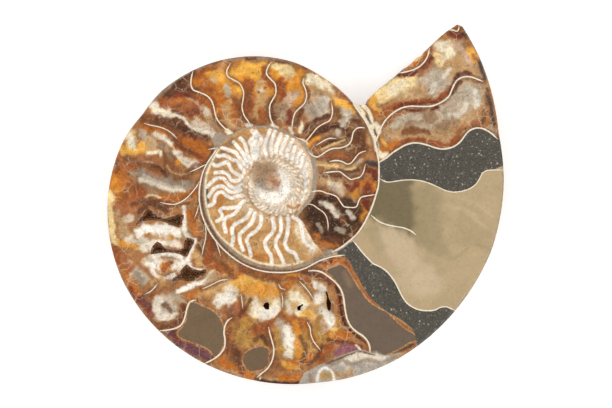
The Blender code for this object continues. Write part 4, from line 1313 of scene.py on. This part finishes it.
def shaded(tree, colour, value):
    """The colour made lighter or darker by a value round one."""
    grey = node(tree, "ShaderNodeCombineColor", {0: value, 1: value, 2: value}).outputs["Color"]
    links = {"Factor": 1.0, 6: colour, 7: grey}
    mix = node(tree, "ShaderNodeMix", links, data_type="RGBA", blend_type="MULTIPLY", clamp_result=False)
    return mix.outputs[2]


def blended(tree, mask, share, colour, tone):
    """The colour with that share of the tone laid over it where the mask is."""
    strength = arithmetic(tree, "MULTIPLY", mask, share)
    links = {"Factor": strength, 6: colour, 7: (*linear(tone), 1)}
    return node(tree, "ShaderNodeMix", links, data_type="RGBA").outputs[2]


def finish_of(
    name, base, marbling, grain, rough, bump, coat=0.0, specks=(), streak=None, vein=None, crack=None
):
    """A stone finish: marbling and grain are (scale, contrast), rough is (low, high), bump is in metres."""
    material = bpy.data.materials.new(name)
    material.use_nodes = True
    tree = material.node_tree
    shader = tree.nodes["Principled BSDF"]
    if base == "pigment":
        colour = node(tree, "ShaderNodeAttribute", attribute_name="pigment").outputs["Color"]
    else:
        colour = node(tree, "ShaderNodeRGB").outputs[0]
        colour.default_value = (*linear(base), 1)
    clouds = use(tree, MARBLING, Scale=marbling[0], Contrast=marbling[1])
    fine = use(tree, GRAIN, Scale=grain[0], Contrast=grain[1])
    colour = shaded(tree, shaded(tree, colour, clouds["Shade"]), fine["Shade"])
    if streak:
        share, tone = streak
        colour = blended(tree, clouds["Streak"], share, colour, tone)
    if vein:
        scale, share, tone = vein
        colour = blended(tree, use(tree, MARBLING, Scale=scale)["Streak"], share, colour, tone)
    if crack:
        scale, width, share, tone = crack
        colour = blended(tree, use(tree, CRACKS, Scale=scale, Width=width)["Line"], share, colour, tone)
    for scale, size, share, tone in specks:
        colour = blended(tree, use(tree, GRIT, Scale=scale, Size=size)["Specks"], share, colour, tone)
    tree.links.new(colour, shader.inputs["Base Color"])
    tree.links.new(spread(tree, fine["Height"], NOISE_LOW, NOISE_HIGH, *rough), shader.inputs["Roughness"])
    links = {"Height": fine["Height"], "Strength": BUMP_STRENGTH, "Distance": bump}
    tree.links.new(node(tree, "ShaderNodeBump", links).outputs["Normal"], shader.inputs["Normal"])
    shader.inputs["Coat Weight"].default_value = coat
    shader.inputs["Coat Roughness"].default_value = COAT_ROUGHNESS
    return material


print("a bump of strength", BUMP_STRENGTH, "under a coat of roughness", COAT_ROUGHNESS)

# %% [markdown]
# The calcite takes its colour from the painted pigment, and so do the plain mud and the seam. The septa are
# cream shell. The speckled mud is dark with three sizes of grit. The scales are large numbers, because the
# stone is only a tenth of a metre wide.

# %% The polished finishes
FINISHES = {
    "calcite": finish_of(
        "polished calcite", "pigment", marbling=(330.0, 0.34), grain=(1500.0, 0.09), rough=(0.16, 0.3),
        bump=2e-6, coat=0.25, specks=((1100.0, 0.24, 0.4, (74, 42, 24)),), streak=(0.2, (232, 214, 188)),
        vein=(480.0, 0.72, (88, 46, 24)), crack=(300.0, 0.05, 0.45, (228, 206, 172)),
    ),
    "septum": finish_of(
        "polished shell", (236, 222, 198), marbling=(700.0, 0.14), grain=(2600.0, 0.1), rough=(0.2, 0.32),
        bump=1e-6, coat=0.2,
    ),
    "speckled_mud": finish_of(
        "speckled mudstone", (78, 73, 64), marbling=(380.0, 0.14), grain=(2600.0, 0.3), rough=(0.25, 0.42),
        bump=2e-6, coat=0.15, specks=(
            (1500.0, 0.5, 0.55, (128, 122, 110)), (750.0, 0.26, 0.85, (186, 176, 158)),
            (1900.0, 0.5, 0.6, (46, 43, 38)),
        ),
    ),
    "plain_mud": finish_of(
        "plain mudstone", "pigment", marbling=(150.0, 0.07), grain=(1500.0, 0.06), rough=(0.25, 0.38),
        bump=1e-6, coat=0.15,
    ),
    "seam": finish_of(
        "grey seam", "pigment", marbling=(700.0, 0.3), grain=(2400.0, 0.16), rough=(0.24, 0.4),
        bump=2e-6, coat=0.15, specks=((900.0, 0.22, 0.5, (222, 214, 200)), (1200.0, 0.22, 0.5, (92, 78, 64))),
    ),
}
print(len(FINISHES), "polished finishes")

# %% [markdown]
# The back was never polished. It is the old shell, dull and worn. The walls of the hollows are rough calcite,
# painted dark brown, partly as its own colour and partly as painted shade of the deep hollow. Neither has a
# coat. With these two, every region of the mesh has its finish.

# %% The rough finishes, and the stone's own place in the model
FINISHES["shell_back"] = finish_of(
    "old shell", (150, 116, 80), marbling=(120.0, 0.35), grain=(900.0, 0.22), rough=(0.55, 0.8), bump=6e-5,
    specks=((420.0, 0.25, 0.5, (206, 190, 162)), (600.0, 0.22, 0.5, (78, 54, 36))),
    streak=(0.5, (108, 74, 46)),
)
# The dark brown base of the hollow wall is partly the calcite's own colour and partly painted shade.
FINISHES["hollow_wall"] = finish_of(
    "hollow wall", (84, 52, 32), marbling=(700.0, 0.3), grain=(2400.0, 0.25), rough=(0.5, 0.7), bump=3e-5,
    streak=(0.4, (150, 116, 84)),
)
for name in REGIONS:
    stone_mesh.materials.append(FINISHES[name])
face_region = np.zeros(len(stone_mesh.polygons), np.int32)
stone_mesh.attributes["region"].data.foreach_get("value", face_region)
stone_mesh.polygons.foreach_set("material_index", face_region)
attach(ammonite, "root")
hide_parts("ammonite")
print(len(FINISHES), "finishes on the stone")

# %% [markdown]
# ## The crystal crusts
# In three places the chambers never filled up, and calcite crystals line the hole. The solid already has a
# crust with pointed crystals in each hollow. Its mesh is copied and every face that looks up out of the
# hollow is raised again to a small point, which gives the finer crystals between the large ones. Nothing
# rises above the polished face.

# %% Raise a small point on every crystal face
CRYSTAL_TIP = 0.35 * MM
TIP_LEAST, TIP_MOST = 0.4, 1.0
BELOW_FACE = 0.3 * MM
ROOM_SHARE = 0.5
UPWARD = 0.05
SMALLEST_FACE = 1e-8
CRYSTAL_SEED = 11
draw = random.Random(CRYSTAL_SEED)


def poke(crust):
    """Raises each face that looks up out of the hollow to a point of its own."""
    lining = [face for face in crust.faces if face.normal.z > UPWARD and face.calc_area() > SMALLEST_FACE]
    for face in lining:
        middle = face.calc_center_median()
        room = max(0.0, FACE_HEIGHT - middle.z - BELOW_FACE)
        height = min(CRYSTAL_TIP * draw.uniform(TIP_LEAST, TIP_MOST), ROOM_SHARE * room)
        corners_of = list(face.verts)
        point = crust.verts.new(middle + face.normal * height)
        bmesh.ops.delete(crust, geom=[face], context="FACES_ONLY")
        for first, second in zip(corners_of, corners_of[1:] + corners_of[:1]):
            crust.faces.new((first, second, point))
    bmesh.ops.recalc_face_normals(crust, faces=crust.faces[:])


# The crystals' dark brown base and darker streaks are partly the calcite's own colour and partly painted
# shade of the hollow they line.
crystal_finish = finish_of(
    "calcite crystals", (120, 80, 50), marbling=(500.0, 0.35), grain=(1800.0, 0.2), rough=(0.12, 0.3),
    bump=4e-6, coat=0.4, specks=((900.0, 0.26, 0.5, (206, 180, 150)),), streak=(0.6, (74, 44, 26)),
)
print("finish:", crystal_finish.name)

# %% [markdown]
# The same few lines serve all three crusts. Each fine crust stands in for the plain one of the solid, moves
# with the stone, and has the crystals' finish, whose dark tone is partly painted shade of the hollow.

# %% Finer crystals on each crust
for name in ("upper_hollow_crystals", "middle_hollow_crystals", "lower_hollow_crystals"):
    crust = welded_copy(name)
    bmesh.ops.triangulate(crust, faces=crust.faces[:])
    poke(crust)
    crust_mesh = mesh_from(name + "_fine", crust)
    crust_mesh.materials.append(crystal_finish)
    crystals = linked(name + "_fine", crust_mesh)
    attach(crystals, "root")
    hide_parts(name)
    print(name, len(crust_mesh.polygons), "faces")

# %% [markdown]
# ## Floor, lights and camera
# The fossil was photographed on plain white. A large square just under the stone does for the paper, and it
# glows a little of its own, because a floor that is only lit comes out grey beside a bright subject.

# %% A pale floor
FLOOR_SIZE = 4.0
FLOOR_DROP = 0.2 * MM
FLOOR_TONE, FLOOR_ROUGHNESS, FLOOR_GLOW = 0.97, 0.9, 0.3
half = FLOOR_SIZE / 2
plan = ((-half, -half), (half, -half), (half, half), (-half, half))
floor_mesh = bpy.data.meshes.new("floor")
floor_mesh.from_pydata([(x, y, -FLOOR_DROP) for x, y in plan], [], [(0, 1, 2, 3)])
floor = linked("floor", floor_mesh)
floor_material = bpy.data.materials.new("paper")
floor_material.use_nodes = True
paper = floor_material.node_tree.nodes["Principled BSDF"]
paper.inputs["Base Color"].default_value = (FLOOR_TONE, FLOOR_TONE, FLOOR_TONE, 1)
paper.inputs["Roughness"].default_value = FLOOR_ROUGHNESS
paper.inputs["Emission Color"].default_value = (1, 1, 1, 1)
paper.inputs["Emission Strength"].default_value = FLOOR_GLOW
floor_mesh.materials.append(floor_material)
print("floor", FLOOR_SIZE, "m wide")

# %% [markdown]
# Four large soft lamps stand round the stone, well to the side, so that none of them is mirrored in the
# polish by a camera that looks straight down. A dim, even room fills the shadows. The plain view transform
# keeps the pigments as they were mixed.

# %% Soft lamps and a dim room
LAMP_COUNT = 4
LAMP_SIZE, LAMP_REACH, LAMP_HEIGHT, LAMP_POWER = 0.8, 0.75, 0.75, 4.5
ROOM_LIGHT = 0.15
for index in range(LAMP_COUNT):
    turn = math.tau * (index + 0.5) / LAMP_COUNT
    lamp = bpy.data.lights.new(f"lamp_{index}", "AREA")
    lamp.energy = LAMP_POWER
    lamp.size = LAMP_SIZE
    light = linked(f"lamp_{index}", lamp)
    light.location = (LAMP_REACH * math.cos(turn), LAMP_REACH * math.sin(turn), LAMP_HEIGHT)
    light.rotation_euler = (-light.location).to_track_quat("-Z", "Y").to_euler()
world = bpy.data.worlds.new("room")
bpy.context.scene.world = world
world.use_nodes = True
world.node_tree.nodes["Background"].inputs["Color"].default_value = (1, 1, 1, 1)
world.node_tree.nodes["Background"].inputs["Strength"].default_value = ROOM_LIGHT
bpy.context.scene.view_settings.view_transform = "Standard"
print(LAMP_COUNT, "lamps of", LAMP_POWER, "W")

# %% [markdown]
# The camera looks straight down on the middle of the photograph. A long lens keeps the whole face at one
# scale, and the height follows from the lens, so that the picture covers just what the photograph covers.

# %% A camera that looks straight down
LENS, SENSOR = 100.0, 36.0
PHOTO_WIDTH, PHOTO_HEIGHT = 612, 408
camera_data = bpy.data.cameras.new("camera")
camera_data.lens = LENS
camera_data.sensor_width = SENSOR
camera = linked("camera", camera_data)
aim_x, aim_y = to_metres([(PHOTO_WIDTH / 2, PHOTO_HEIGHT / 2)])[0]
camera.location = (aim_x, aim_y, FACE_HEIGHT + PHOTO_WIDTH * PIXEL * LENS / SENSOR)
bpy.context.scene.camera = camera
print("camera at", round(camera.location.z, 3), "m")
